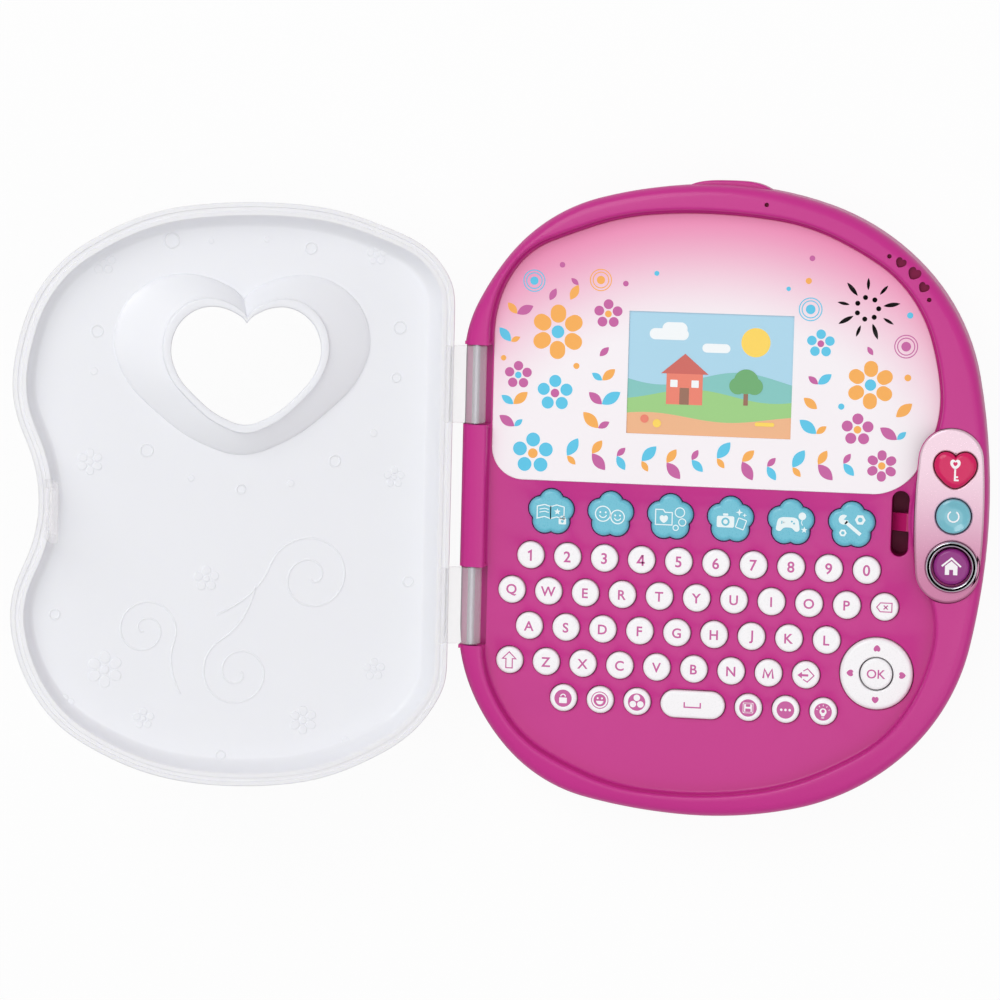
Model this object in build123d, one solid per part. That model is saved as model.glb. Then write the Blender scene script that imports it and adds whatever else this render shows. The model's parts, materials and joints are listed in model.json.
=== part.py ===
"""Electronic secret diary: a kidney-shaped case with a keyboard and a small colour screen, and a
dished lid with a heart-shaped window that swings shut over them and is held by an electric bolt.

Millimetres, +Z up. While it is drawn, the hinge axis lies along Y at x = 0, +X points from the
hinge across the keyboard, +Y points up the page, and z = 0 is the table. The lid is drawn shut.
At the end everything is moved so that the origin is on the table, under the middle of the open
diary, and the lid is turned open to its stop."""

import os
from math import atan2, cos, degrees, pi, radians, sin, sqrt, tan

from build123d import *

# ---- overall sizes ----------------------------------------------------------------------------
case_width = 188.6        # left side to right side
case_length = 226.6       # bottom to top of the page
case_height = 31.0        # table to the top of the rim
part_line = 14.0          # height of the joint between the rear and front case
lid_opening = 155.0       # degrees from shut to the stop

# ---- case -------------------------------------------------------------------------------------
foot_height = 0.8
foot_radius = 5.0
wall = 2.2
base_inset, base_rise = 5.5, 7.5              # slope along the bottom edge
rim_round = 3.0           # round along the rim's outer top edge
recess_chamfer = 0.8      # along the rim's inner top edge
recess_depth = 6.0        # rim top down to the deck
recess_wall = 2.0
recess_left = 4.8         # hinge axis to the recess's straight side
hinge_to_side = 4.6       # hinge axis to the case's straight side
fit_gap = 0.1             # pieces that are dropped into a seat

# ---- sides of what is round and repeats ---------------------------------------------------------
fine_sides = 24           # four-way ring, side buttons, speaker
key_sides = 12            # keys and the holes they stand in, petals, cells
post_sides = 8            # posts, feet, screws
dome_sides = 6            # domes of the mat

# ---- hinge ------------------------------------------------------------------------------------
hinge_z = 27.3
barrel_radius = 3.7
pin_radius = 1.25
pin_run_gap = 0.08        # lid barrel on the pin
pin_seat_gap = 0.02       # pin in the case
pin_grip = 5.5            # length of pin held at each end
tab_length = 27.9         # length of a barrel along the pin
tab_centres = (42.25, -38.0)
tab_gap = 0.4             # barrel end to the notch's side
notch_right = 5.4         # hinge axis to the notch's inner wall
notch_floor_gap = 0.7
stop_gap = 0.1            # heel of the barrel to the notch floor, lid open
heel_width = 2.0

# ---- lid --------------------------------------------------------------------------------------
lid_gap = 0.7             # recess wall to the lid's edge
lid_left = 8.4            # hinge axis to the lid's straight edge
lid_lift = 2.1            # deck to the underside of the lid's flange
flange_thickness = 2.0
flange_width = 3.0
lid_wall = 2.0
dome_top = 36.0
dome_inset, dome_drop = 2.2, 5.0              # slope around the dome
window_width, window_height = 53.6, 41.5      # heart-shaped window
cup_width, cup_height = 87.8, 59.6            # heart-shaped hollow around it
window_lip = 2.2
window_clearance = 1.2    # faceplate to the window's rim, lid shut
clip_wide = 21.3          # loop that the bolt goes through
clip_thick = 3.0
clip_window = 16.0
clip_foot = 2.4
clip_play = 0.4           # clip's foot below the bolt, and above the well's floor

# ---- screen, faceplate, speaker ---------------------------------------------------------------
screen_centre = (84.0, 48.5)
screen_width, screen_height = 58.8, 43.8
faceplate_thickness = 0.6
faceplate_bottom = 8.3    # y of its straight lower edge
faceplate_margin = 1.2    # to the recess wall
faceplate_corner = 11.5
glass_margin = 1.0
lcd_frame_margin = 4.0
lcd_frame_thickness = 2.2
speaker_centre = (139.0, 74.0)
speaker_radius = 16.0
speaker_depth = 7.0
speaker_flange = 1.2
cone_radius, cone_depth = 11.6, 2.2
magnet_radius, magnet_height = 9.5, 2.8
grille_slots = 9
grille_dots = 7

# ---- keyboard ---------------------------------------------------------------------------------
key_diameter = 9.8
key_gap = 0.3
key_proud = 1.6           # key tops above the deck
key_height = 4.6
key_travel = 1.0
key_pitch = 13.43
row_pitch = 12.9
first_row = -18.9         # y of the row of numbers
space_width, space_depth = 23.2, 10.0
flower_first = (28.2, -3.1)
flower_pitch = 21.6
flower_count = 6
petal_radius = 4.4
petal_circle = 4.0
dpad_centre = (146.8, -55.9)
dpad_radius = 12.95
dpad_chamfer = 0.6
ok_radius = 5.65
ok_gap = 0.5
dpad_tilt = 3.0
mat_thickness = 1.2
dome_height = 1.1
dome_radius = 3.6
board_thickness = 1.6
standoff_radius = 3.0

# ---- side panel and its buttons ---------------------------------------------------------------
panel_inset = 13.5        # panel's centre line to the case's right side
panel_middle = 2.3        # y of its centre
panel_width, panel_length = 24.2, 61.8
panel_thickness = 1.8
panel_pocket = 1.2
panel_flare = 0.9         # around the heart and power buttons
side_button_inset = 12.0  # button centres to the case's right side
heart_button_y, power_button_y, home_button_y = 18.6, 2.3, -15.5
heart_button_width, heart_button_height = 14.8, 12.7
power_radius = 6.05
home_radius = 6.4
ring_outer, ring_inner = 9.0, 7.1
ring_height = 2.0
side_button_proud = 1.4   # above the panel
side_button_gap = 0.35
side_button_crown, side_button_slope = 1.0, 35.0
side_travel = 0.8
side_button_tail = 3.6    # from the panel's underside down to the switches
side_board_width, side_board_length = 10.8, 58.0
side_post_radius = 1.8

# ---- lock -------------------------------------------------------------------------------------
slot_inset = 4.0          # slot's centre to the recess wall at the waist
slot_y = -1.9
slot_wide, slot_long = 6.1, 23.3
well_wall = 1.4
bolt_z = 18.4
bolt_height = 4.0
bolt_width = 6.4
bolt_gap = 0.3
bolt_travel = 5.2
bolt_bar = 8.6
nose_length = 5.4
collar_thickness = 1.5
collar_width = 9.0
rod_radius = 1.4
rod_length = 15.0
spring_length = 9.0
spring_radius = 2.6
spring_wire = 0.5
spring_turns = 5
spring_steps = 10         # straight stretches to a turn
coil_radius = 4.6
coil_length = 9.0
bracket_thickness = 1.2

# ---- power ------------------------------------------------------------------------------------
cell_radius = 7.1
cell_length = 50.5
nub_radius, nub_height = 2.75, 1.0
cell_pitch = 15.0
cell_count = 4
bay_width, bay_length = 61.0, 57.0
bay_ledge = 3.0
door_thickness = 2.0
door_gap = 0.3
door_corner = 4.0
door_ear = 5.5
screw_radius = 1.45
screw_head_radius = 2.8
screw_head_height = 2.0
screw_boss_radius = 3.8
screw_length = 16.0
door_screw_length = 9.0
rib_thickness = 1.2
rib_height = 4.0

# ---- camera and small holes -------------------------------------------------------------------
pod_x, pod_z = 88.5, 21.0
pod_width, pod_height, pod_depth = 27.0, 9.0, 1.6
lens_radius = 3.0
mic_hole = (102.7, 109.4)
mic_radius = 0.8
mic_capsule = 1.2
rim_dots = ((146.2, 92.7), (160.6, 77.9))
rim_hearts = ((150.2, 90.5, 3.8), (155.0, 86.8, 4.6), (158.5, 82.1, 3.8))

# ---- heights that follow ----------------------------------------------------------------------
floor_bottom = foot_height
floor_top = floor_bottom + wall
deck_top = case_height - recess_depth
deck_under = deck_top - wall
rim_under = case_height - wall
key_bottom = deck_top + key_proud - key_height
mat_top = key_bottom - dome_height
board_top = mat_top - mat_thickness
board_bottom = board_top - board_thickness
notch_floor = hinge_z - barrel_radius - notch_floor_gap
flange_bottom = deck_top + lid_lift
flange_top = flange_bottom + flange_thickness
faceplate_top = deck_top + faceplate_thickness
cell_z = floor_bottom + door_thickness + door_gap + cell_radius
bay_top = cell_z + cell_radius + door_gap
panel_top = case_height - panel_pocket + panel_thickness
side_button_bottom = case_height - panel_pocket - side_button_tail
side_board_top = side_button_bottom - side_travel - 0.4
clip_bottom = bolt_z - bolt_height / 2 - clip_play - clip_foot
well_bottom = clip_bottom - clip_play - well_wall

# ---- plan positions that follow ---------------------------------------------------------------
drawn_width, drawn_length = 188.6, 226.6      # the size at which the outlines below are drawn
stretch_x = (case_width - hinge_to_side) / (drawn_width - hinge_to_side)
stretch_y = case_length / drawn_length
case_right = case_width - hinge_to_side
waist_x = 157.2 * stretch_x
slot_x = waist_x - slot_inset
panel_x = case_right - panel_inset
side_button_x = case_right - side_button_inset

# Outlines run anticlockwise from the foot of the hinge side to its head.
case_curve = [(-44, -hinge_to_side), (14.6, -90.0), (78.0, -110.6), (155.0, -87.3), (184.0, 6.0),
              (158.7, 88.2), (83.6, 116.0), (10.5, 88.4), (52, -hinge_to_side)]
recess_curve = [(-52, recess_left), (14.5, -78.5), (45.0, -98.2), (84.0, -103.0), (128.0, -93.0),
                (153.5, -75.0), (166.8, -45.0), (157.2, 0.0), (166.6, 47.0), (154.5, 80.0),
                (128.0, 98.7), (84.0, 106.8), (40.0, 101.0), (14.0, 87.0), (60, recess_left)]

screw_places = [(20.0, 76.0), (112.0, 96.0), (171.5, 52.0), (172.0, -40.0), (146.0, -86.0),
                (26.0, -86.0)]
foot_places = [(32.0, 84.0), (142.0, 84.0), (140.0, -78.0), (30.0, -76.0)]
standoff_places = [(14.0, 0.0), (14.0, -69.0), (74.0, -63.8), (136.0, -12.0), (150.0, -74.0)]

# Heart: right half from the notch to the tip, for a half width of 1.
heart_curve = [(0.0, 0.575), (0.25, 0.735), (0.62, 0.765), (1.0, 0.12), (0.62, -0.40),
               (0.0, -0.784)]
heart_span = 0.775 + 0.784

letter_rows = (("qwertyuiop", 14.6, 1), ("asdfghjkl", 21.3, 2), ("zxcvbnm", 14.4 + key_pitch, 3))
number_start = 21.2
function_rows = ((14.6 + 10 * key_pitch, 1, 1), (14.4, 3, 1), (14.4 + 8 * key_pitch, 3, 1),
                 (34.5, 4, 3), (101.6, 4, 3))
space_x = 81.5


# ---- outline helpers --------------------------------------------------------------------------
def on_case(x, y):
    """A place drawn on the outline, moved with the case's width and length."""
    return x * stretch_x, y * stretch_y


def arc_from(start, end, direction):
    """The arc from start to end that leaves start in this direction."""
    chord = end - start
    lean = atan2(chord.cross(direction).Z, chord.dot(direction))
    left = Vector(-chord.Y, chord.X)
    return ThreePointArc(start, (start + end) * 0.5 + left * 0.5 * tan(lean / 2), end)


def direction_at(before, here, after):
    """Direction at the middle one of three points, on the circle through them."""
    arrive, leave = here - before, after - here
    return (arrive * (leave.length / arrive.length) + leave * (arrive.length / leave.length)).normalized()


def arc_chain(points, first, last):
    """Smooth chain of arcs through the points: two arcs that meet tangentially in each gap."""
    points = [Vector(*point) for point in points]
    inner = [direction_at(*points[i - 1:i + 2]) for i in range(1, len(points) - 1)]
    directions = [Vector(*first).normalized()] + inner + [Vector(*last).normalized()]
    arcs = []
    for start, end, out, home in zip(points, points[1:], directions, directions[1:]):
        span, both = end - start, out + home
        bend = 2 * (1 - out.dot(home))
        reach = (sqrt(span.dot(both) ** 2 + bend * span.dot(span)) - span.dot(both)) / bend
        middle = (start + end + (out - home) * reach) * 0.5
        arcs += [arc_from(start, middle, out), arc_from(end, middle, -home)]
    return arcs


def page_outline(curve):
    """Face bounded by the curve and the straight hinge side that closes it."""
    (foot, side), *middle, (head, _) = curve
    points = [(side, foot * stretch_y)] + [on_case(*point) for point in middle]
    points.append((side, head * stretch_y))
    return make_face(arc_chain(points, (0, -1), (0, -1)) + [Line(points[-1], points[0])])


def straightened(face):
    """The face with a straight side in place of each arc, for walls that aren't seen."""
    return make_face(Polyline(*[edge @ 0 for edge in face.face().outer_wire().order_edges()], close=True))


def heart_arcs(width, height):
    """Heart with a sharp notch and a round tip, as a chain of arcs."""
    scale_x, scale_y = width / 2, height / heart_span
    right = [(x * scale_x, y * scale_y) for x, y in heart_curve]
    left = [(-x, y) for x, y in reversed(right)]
    return arc_chain(right, (0.5, 0.85), (-1, 0)) + arc_chain(left, (-1, 0), (0.5, -0.85))


def heart(width, height, centre):
    """Heart-shaped face with two straight sides to each arc."""
    points = [arc @ t for arc in heart_arcs(width, height) for t in (0, 0.5)]
    return Pos(*centre) * make_face(Polyline(*points, close=True))


def disc(radius, sides=post_sides):
    """Round face drawn with few sides."""
    return RegularPolygon(radius, sides)


def small_heart(half_width):
    """Heart with straight sides between the same points."""
    right = [(x * half_width, y * half_width) for x, y in heart_curve]
    left = [(-x, y) for x, y in reversed(right[1:-1])]
    return make_face(Polyline(*right, *left, close=True))


def flower(gap=0.0):
    """Outline of five round petals."""
    petal = Pos(petal_circle, 0) * disc(petal_radius + gap, key_sides)
    return Sketch() + [Rot(0, 0, 90 + 72 * i) * petal for i in range(5)]


def pill(width, depth, gap=0.0):
    """Outline of the space key."""
    reach, radius = (width - depth) / 2, depth / 2 + gap
    ends = [Pos(side * reach, 0) * disc(radius, key_sides) for side in (-1, 1)]
    return Rectangle(2 * reach, 2 * radius) + ends


def raised(face, bottom, top):
    """The face as a solid between two heights."""
    return Pos(0, 0, bottom) * extrude(face, top - bottom)


def eased(solid, size):
    """The solid with its top edges cut back in two flats, the chords of a round of this size."""
    top = solid.faces().sort_by(Axis.Z)[-1]
    solid = chamfer(top.edges(), size * tan(pi / 8), size, reference=top)
    top = solid.faces().sort_by(Axis.Z)[-1]
    along_top, down_slope = size * (1 - tan(pi / 8)), size / cos(pi / 8) - 2 * size * sin(pi / 8)
    return chamfer(top.edges(), along_top, down_slope, reference=top)


def post(x, y, radius, bottom, top, sides=post_sides):
    """Upright post, or the cutter of a hole, between two heights."""
    return raised(Pos(x, y) * disc(radius, sides), bottom, top)


def block(x, y, z, width, depth, height):
    """Box by its centre in plan and its lowest height."""
    return Pos(x, y, z) * Box(width, depth, height, align=(Align.CENTER, Align.CENTER, Align.MIN))


def row_y(row):
    """y of a row of keys, the numbers being row 0."""
    return first_row - row * row_pitch


case_face = page_outline(case_curve)
recess_face = page_outline(recess_curve)
inside_face = straightened(offset(case_face, amount=-wall))
tray_face = straightened(offset(recess_face, amount=recess_wall))
lid_face = offset(recess_face, amount=-lid_gap) & Pos(lid_left, 0) * Rectangle(
    2 * case_width, 2 * case_length, align=(Align.MIN, Align.CENTER))

number_keys_at = [on_case(number_start + i * key_pitch, row_y(0)) for i in range(10)]
letters_at = {letter: on_case(start + i * key_pitch, row_y(row))
              for letters, start, row in letter_rows for i, letter in enumerate(letters)}
function_keys_at = [on_case(start + i * key_pitch, row_y(row))
                    for start, row, count in function_rows for i in range(count)]
round_keys_at = number_keys_at + list(letters_at.values()) + function_keys_at
flowers_at = [on_case(flower_first[0] + i * flower_pitch, flower_first[1]) for i in range(flower_count)]
space_at = on_case(space_x, row_y(4))
dpad_at = on_case(*dpad_centre)
screen_at = on_case(*screen_centre)
speaker_at = on_case(*speaker_centre)
tabs_at = [centre * stretch_y for centre in tab_centres]
side_buttons_at = {"heart": (side_button_x, heart_button_y), "power": (side_button_x, power_button_y),
                   "home": (side_button_x, home_button_y)}
cells_at = [screen_at[0] + (i - (cell_count - 1) / 2) * cell_pitch for i in range(cell_count)]
door_width, door_length = bay_width + 2 * bay_ledge, bay_length + 2 * bay_ledge
door_ears_at = [(screen_at[0], screen_at[1] + side * (door_length / 2 + door_ear / 2))
                for side in (-1, 1)]
screws_at = [on_case(*place) for place in screw_places]
feet_at = [on_case(*place) for place in foot_places]
standoffs_at = [on_case(*place) for place in standoff_places]
pin_spans = [(centre - tab_length / 2 - tab_gap - pin_grip, centre + tab_length / 2 + tab_gap + pin_grip)
             for centre in tabs_at]


# ---- case -------------------------------------------------------------------------------------
def door_outline(gap=0.0):
    plate = Pos(*screen_at) * RectangleRounded(door_width + 2 * gap, door_length + 2 * gap,
                                                   door_corner + gap)
    ears = [Pos(*place) * disc(door_ear + gap, key_sides) for place in door_ears_at]
    return plate + ears


def rear_case():
    """Lower half: bowl with the battery bay, posts, ribs and moulded feet."""
    shell = raised(case_face, floor_bottom, part_line)
    table_side = shell.faces().sort_by(Axis.Z)[0]
    shell = chamfer(table_side.edges(), base_inset, base_rise, reference=table_side)
    hollow = raised(inside_face, floor_top, part_line + 1)
    hollow = chamfer(hollow.faces().sort_by(Axis.Z)[0].edges(), base_rise - wall)
    case = shell - hollow + bay_walls()
    case += [post(x, y, foot_radius, 0, floor_top) for x, y in feet_at]
    case += [post(x, y, screw_boss_radius, floor_top - 0.5, part_line) for x, y in screws_at]
    case += [post(x, y, standoff_radius, floor_top - 0.5, board_bottom) for x, y in standoffs_at]
    case += [post(x, y, side_post_radius, floor_top - 0.5, side_board_top - board_thickness)
             for x, y in side_board_ends()]
    case += pin_rests() + [lock_seat(), floor_ribs()]
    case -= [raised(door_outline(door_gap), -1, floor_bottom + door_thickness + fit_gap),
             block(*screen_at, 0, bay_width, bay_length, bay_top)]
    for x, y in door_ears_at:
        case -= post(x, y, screw_radius, floor_bottom, floor_bottom + door_screw_length + 1)
    for x, y in screws_at:
        case -= post(x, y, screw_radius + 0.3, 0, part_line + 1)
        case -= post(x, y, screw_head_radius + 0.3, 0, floor_bottom + wall + screw_head_height)
    return case


def bay_walls():
    """Box around the cells, with a low post over each of the door's ears."""
    margin = 2 * (door_gap + wall)
    walls = [block(*screen_at, floor_bottom, door_width + margin, door_length + margin, bay_top + wall
                   - floor_bottom)]
    return walls + [post(x, y, door_ear + door_gap + wall, floor_bottom, floor_bottom + door_screw_length + 2)
                    for x, y in door_ears_at]


def floor_ribs():
    """Low ribs across the floor below the keyboard."""
    (left, _), (right, _) = on_case(0, 0), on_case(165, 0)
    ribs = [block((left + right) / 2, on_case(0, y)[1], floor_top - 0.5, right - left, rib_thickness,
                  rib_height + 0.5) for y in (-15, -45, -75)]
    ribs += [block(on_case(x, 0)[0], on_case(0, -45)[1], floor_top - 0.5, rib_thickness, on_case(0, 60)[1],
                   rib_height + 0.5) for x in (45, 105)]
    return (Part() + ribs) & raised(inside_face, floor_bottom, part_line)


def side_board_ends():
    """Where the side board is held between a post from each half of the case."""
    middle = (heart_button_y + home_button_y) / 2
    reach = side_board_length / 2 - side_post_radius - 0.3
    return [(side_button_x, middle - reach), (side_button_x, middle + reach)]


def pin_rests():
    """Posts that come up behind each end of a hinge pin and hold it in its slot."""
    rests = []
    for low, high in pin_spans:
        for y in (low + pin_grip / 2, high - pin_grip / 2):
            rests.append(block(0, y, floor_top - 0.5, 2.2, pin_grip - 1.5, hinge_z - pin_radius - fit_gap
                               - floor_top + 0.5))
    return rests


def lock_seat():
    """Pillar under the lock's bracket."""
    bottom = bolt_z - coil_radius - bracket_thickness - fit_gap
    return block(solenoid_x() + coil_length / 2, slot_y, floor_top - 0.5, 8, 8, bottom - floor_top + 0.5)


def solenoid_x():
    """Left end of the lock's bracket."""
    return slot_x - slot_wide / 2 - bolt_gap + bolt_bar + collar_thickness + spring_length


def front_case():
    """Upper half: rim, recessed deck with its openings, hinge notches, lock slot and bosses."""
    case = eased(raised(case_face, part_line, case_height), rim_round)
    case += camera_pod()
    mouth = raised(offset(recess_face, amount=recess_chamfer), case_height - recess_chamfer, case_height + 1)
    mouth = chamfer(mouth.faces().sort_by(Axis.Z)[0].edges(), recess_chamfer)
    case -= raised(recess_face, deck_top, case_height) + mouth
    tray = raised(tray_face, deck_under, case_height + 1)
    above_deck = raised(recess_face, deck_under + 0.5, case_height + 1)
    case -= raised(inside_face, part_line - 1, rim_under) - tray - hinge_bosses()
    case += lock_well()
    for x, y in screws_at:
        case += post(x, y, screw_boss_radius, part_line + fit_gap, rim_under + 0.5) - above_deck
    case += [post(x, y, side_post_radius, side_board_top, rim_under + 0.5) for x, y in side_board_ends()]
    case -= hinge_cuts() + deck_holes() + side_holes() + small_holes()
    for x, y in screws_at:
        case -= post(x, y, screw_radius, part_line - 1, screw_top() + 0.5)
    return case


def screw_top():
    return floor_bottom + wall + screw_length


def hinge_bosses():
    """Solid stretches of rim around the hinge notches."""
    return [block(-hinge_to_side, (low + high) / 2, notch_floor - wall, 2 * (recess_left + hinge_to_side + 3),
                  high - low + 2 * wall, case_height) for low, high in pin_spans]


def hinge_cuts():
    """Notches for the lid's barrels, and slots from below that the pins are laid in."""
    cuts = []
    for centre, (low, high) in zip(tabs_at, pin_spans):
        cuts.append(block(notch_right - 15, centre, notch_floor, 30, tab_length + 2 * tab_gap, case_height))
        slot_width = 2 * (pin_radius + pin_seat_gap)
        middle = (low + high) / 2
        for side in (-1, 1):
            end = middle + side * ((high - low) / 2 - pin_grip / 2)
            cuts.append(block(0, end, part_line, slot_width, pin_grip + 0.1, hinge_z - part_line))
            cuts.append(Pos(0, end, hinge_z) * Rot(90, 0, 0) * Cylinder(slot_width / 2, pin_grip + 0.1))
    return cuts


def lock_well():
    """Walls around the lock slot below the deck, with windows that the bolt runs through."""
    outer = SlotOverall(slot_long + 2 * well_wall, slot_wide + 2 * well_wall, rotation=90)
    return raised(Pos(slot_x, slot_y) * outer, well_bottom, deck_under + 0.5)


def deck_holes():
    """Key, screen and speaker openings, and the lock slot."""
    top = case_height
    keys = [Pos(*place) * disc(key_diameter / 2 + key_gap, key_sides) for place in round_keys_at]
    keys += [Pos(*place) * flower(key_gap) for place in flowers_at]
    keys.append(Pos(*space_at) * pill(space_width, space_depth, key_gap))
    keys.append(Pos(*dpad_at) * disc(dpad_radius + key_gap, fine_sides))
    keys.append(Pos(*speaker_at) * disc(speaker_radius - 2.5, fine_sides))
    holes = [raised(Sketch() + keys, deck_under - 1, top)]
    holes.append(block(*screen_at, deck_under - 1, screen_width + 2 * (glass_margin + fit_gap),
                       screen_height + 2 * (glass_margin + fit_gap), top))
    slot = SlotOverall(slot_long, slot_wide, rotation=90)
    holes.append(raised(Pos(slot_x, slot_y) * slot, well_bottom + well_wall, top))
    holes.append(block(slot_x + slot_wide / 2, slot_y, bolt_z - bolt_height / 2 - bolt_gap, 3 * slot_wide,
                       bolt_width + 2 * bolt_gap, bolt_height + 2 * bolt_gap))
    return holes


def side_holes():
    """The panel's pocket in the rim and the three button openings through it."""
    through = (rim_under - 1, case_height + 1)
    return [raised(panel_outline(fit_gap), case_height - panel_pocket, case_height + 1),
            raised(heart_outline(side_button_gap), *through),
            post(*side_buttons_at["power"], power_radius + side_button_gap, *through, fine_sides),
            post(*side_buttons_at["home"], home_radius + side_button_gap, *through, fine_sides)]


def small_holes():
    """Microphone hole, the hearts and dots along the rim, and the camera's opening."""
    through = (rim_under - 1, case_height + 1)
    holes = [post(*on_case(*mic_hole), mic_radius, *through)]
    holes += [post(*on_case(*dot), mic_radius, *through) for dot in rim_dots]
    for x, y, size in rim_hearts:
        holes.append(raised(Pos(*on_case(x, y)) * Rot(0, 0, -30) * small_heart(size / 2), *through))
    x, y = camera_face()
    lens_hole = raised(disc(lens_radius + 0.2, key_sides), -2 * wall, 2 * wall)
    holes.append(Pos(x, y, pod_z) * Rot(90, 0, 0) * lens_hole)
    holes.append(Pos(x, y, pod_z) * camera_body(fit_gap))
    return holes


def camera_face():
    """Middle of the case's back edge, where the camera looks out."""
    return pod_x * stretch_x, case_length / 2 * (116.0 / 113.3)


def camera_pod():
    """Low swelling on the back edge around the camera."""
    x, y = camera_face()
    pod = Pos(x, y, pod_z) * Box(pod_width, 2 * pod_depth, pod_height)
    pod = chamfer(pod.edges().filter_by(Axis.Z).group_by(Axis.Y)[-1], 1.5, 5.0)
    return chamfer(pod.faces().sort_by(Axis.Y)[-1].edges(), 0.6)


# ---- pieces let into the case -----------------------------------------------------------------
def faceplate_outline():
    """Upper part of the recess, with its two lower corners rounded."""
    plate = offset(recess_face, amount=-faceplate_margin) & Pos(*on_case(0, faceplate_bottom)) * Rectangle(
        2 * case_width, case_length, align=(Align.CENTER, Align.MIN))
    return fillet(plate.vertices().group_by(Axis.Y)[0], faceplate_corner)


def grille():
    """Sunburst of slots and dots over the speaker."""
    slots = [Rot(0, 0, 360 * i / grille_slots + 90) * Pos(8.6, 0) * grille_slot(6.0 if i % 2 else 4.4)
             for i in range(grille_slots)]
    dots = [Rot(0, 0, 360 * i / grille_dots) * Pos(3.9, 0) * disc(0.9, dome_sides)
            for i in range(grille_dots)]
    return Pos(*speaker_at) * (Sketch() + slots + dots)


def grille_slot(length):
    """Slot that is pointed at both ends."""
    flank = [(-length / 2, 0), (-length / 4, 0.95), (length / 4, 0.95), (length / 2, 0)]
    return make_face(Polyline(*flank, (length / 4, -0.95), (-length / 4, -0.95), close=True))


def faceplate():
    """Printed plate around the screen and over the speaker."""
    plate = faceplate_outline() - Pos(*screen_at) * Rectangle(screen_width, screen_height) - grille()
    return raised(plate, deck_top, faceplate_top)


def lcd_module():
    """Screen glass standing in the deck's window, on its metal frame under the deck."""
    glass_top = deck_top - fit_gap
    glass = block(*screen_at, deck_under - fit_gap, screen_width + 2 * glass_margin,
                  screen_height + 2 * glass_margin, glass_top - deck_under + fit_gap)
    frame = block(*screen_at, deck_under - fit_gap - lcd_frame_thickness, screen_width + 2 * lcd_frame_margin,
                  screen_height + 2 * lcd_frame_margin, lcd_frame_thickness)
    return [glass, frame]


def speaker():
    """Round loudspeaker: flange, hollow cone, tapering basket and magnet."""
    magnet_top = magnet_height - speaker_depth
    body = raised(disc(speaker_radius, fine_sides), -speaker_flange, 0)
    body += taper(speaker_radius - 3, -speaker_flange, magnet_radius, magnet_top)
    body += raised(disc(magnet_radius, fine_sides), -speaker_depth, magnet_top)
    body -= taper(cone_radius, 0, magnet_radius / 4, -cone_depth)
    return Pos(*speaker_at, deck_under - fit_gap) * body


def taper(top_radius, top, bottom_radius, bottom):
    """Round solid that narrows downwards."""
    slope = degrees(atan2((top_radius - bottom_radius) * cos(pi / fine_sides), top - bottom))
    return Pos(0, 0, top) * Rot(180, 0, 0) * extrude(disc(top_radius, fine_sides), top - bottom, taper=slope)


def panel_outline(gap=0.0):
    """Upright oval, a little fuller on its outer side."""
    half_w, half_l = panel_width / 2 + gap, panel_length / 2 + gap
    points = [(0, half_l), (-half_w, 0), (0, -half_l), (half_w, 0), (0, half_l)]
    directions = [(-1, 0), (0, -1), (1, 0), (0, 1), (-1, 0)]
    edges = []
    for i in range(4):
        edges += arc_chain(points[i:i + 2], directions[i], directions[i + 1])
    return Pos(panel_x, panel_middle) * make_face(edges)


def heart_outline(gap=0.0):
    """The heart button's outline."""
    arcs = heart_arcs(heart_button_width + 2 * gap, heart_button_height + 2 * gap)
    return Pos(*side_buttons_at["heart"]) * make_face(arcs)


def button_panel():
    """Metallic plate in the rim with a flared opening around the heart and power buttons."""
    bottom = case_height - panel_pocket
    plate = raised(panel_outline(), bottom, panel_top)
    plate = chamfer(plate.faces().sort_by(Axis.Z)[-1].edges(), panel_thickness / 3)
    plate -= raised(heart_outline(side_button_gap), bottom - 1, panel_top + 1)
    power_hole = power_radius + side_button_gap
    plate -= post(*side_buttons_at["power"], power_hole, bottom - 1, panel_top + 1, fine_sides)
    mouths = plate.faces().sort_by(Axis.Z)[-1].inner_wires()
    plate = chamfer([edge for mouth in mouths for edge in mouth.edges()], panel_flare)
    return plate - post(*side_buttons_at["home"], ring_outer + fit_gap, bottom - 1, panel_top + 1, fine_sides)


def chrome_ring():
    """Bright ring around the home button, with its two upper edges eased."""
    ring = Pos(*side_buttons_at["home"]) * (disc(ring_outer, fine_sides) - disc(ring_inner, fine_sides))
    ring = raised(ring, case_height - panel_pocket, panel_top + ring_height)
    return chamfer(ring.faces().sort_by(Axis.Z)[-1].edges(), (ring_outer - ring_inner) / 3)


# ---- electronics ------------------------------------------------------------------------------
def board_outline():
    """Main board: full width below the slot, and narrower beside it."""
    (left, top), (right, bottom) = on_case(9.0, 5.0), on_case(160.0, -77.0)
    step = slot_y - slot_long / 2 - 7.5
    beside_slot = slot_x - slot_wide / 2 - well_wall - 1.4
    corners = [(left, bottom), (right - 9, bottom), (right, bottom + 12), (right, step), (beside_slot, step),
               (beside_slot, top), (left, top)]
    return make_face(Polyline(*corners, close=True))


def side_board_outline():
    middle = (heart_button_y + home_button_y) / 2
    board = Rectangle(side_board_width, side_board_length)
    return Pos(side_button_x, middle) * chamfer(board.vertices(), 3)


def main_board():
    """Main board with its two chips, the small board under the side buttons, and the microphone."""
    board = raised(board_outline(), board_bottom, board_top)
    chips = [block(*on_case(60, -30), board_bottom - 1.2, 14, 14, 1.2),
             block(*on_case(100, -42), board_bottom - 1.5, 18, 12, 1.5)]
    side_board = raised(side_board_outline(), side_board_top - board_thickness, side_board_top)
    microphone = post(*on_case(*mic_hole), mic_capsule, rim_under - 2.0, rim_under)
    return [board, *chips, side_board, microphone]


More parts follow.
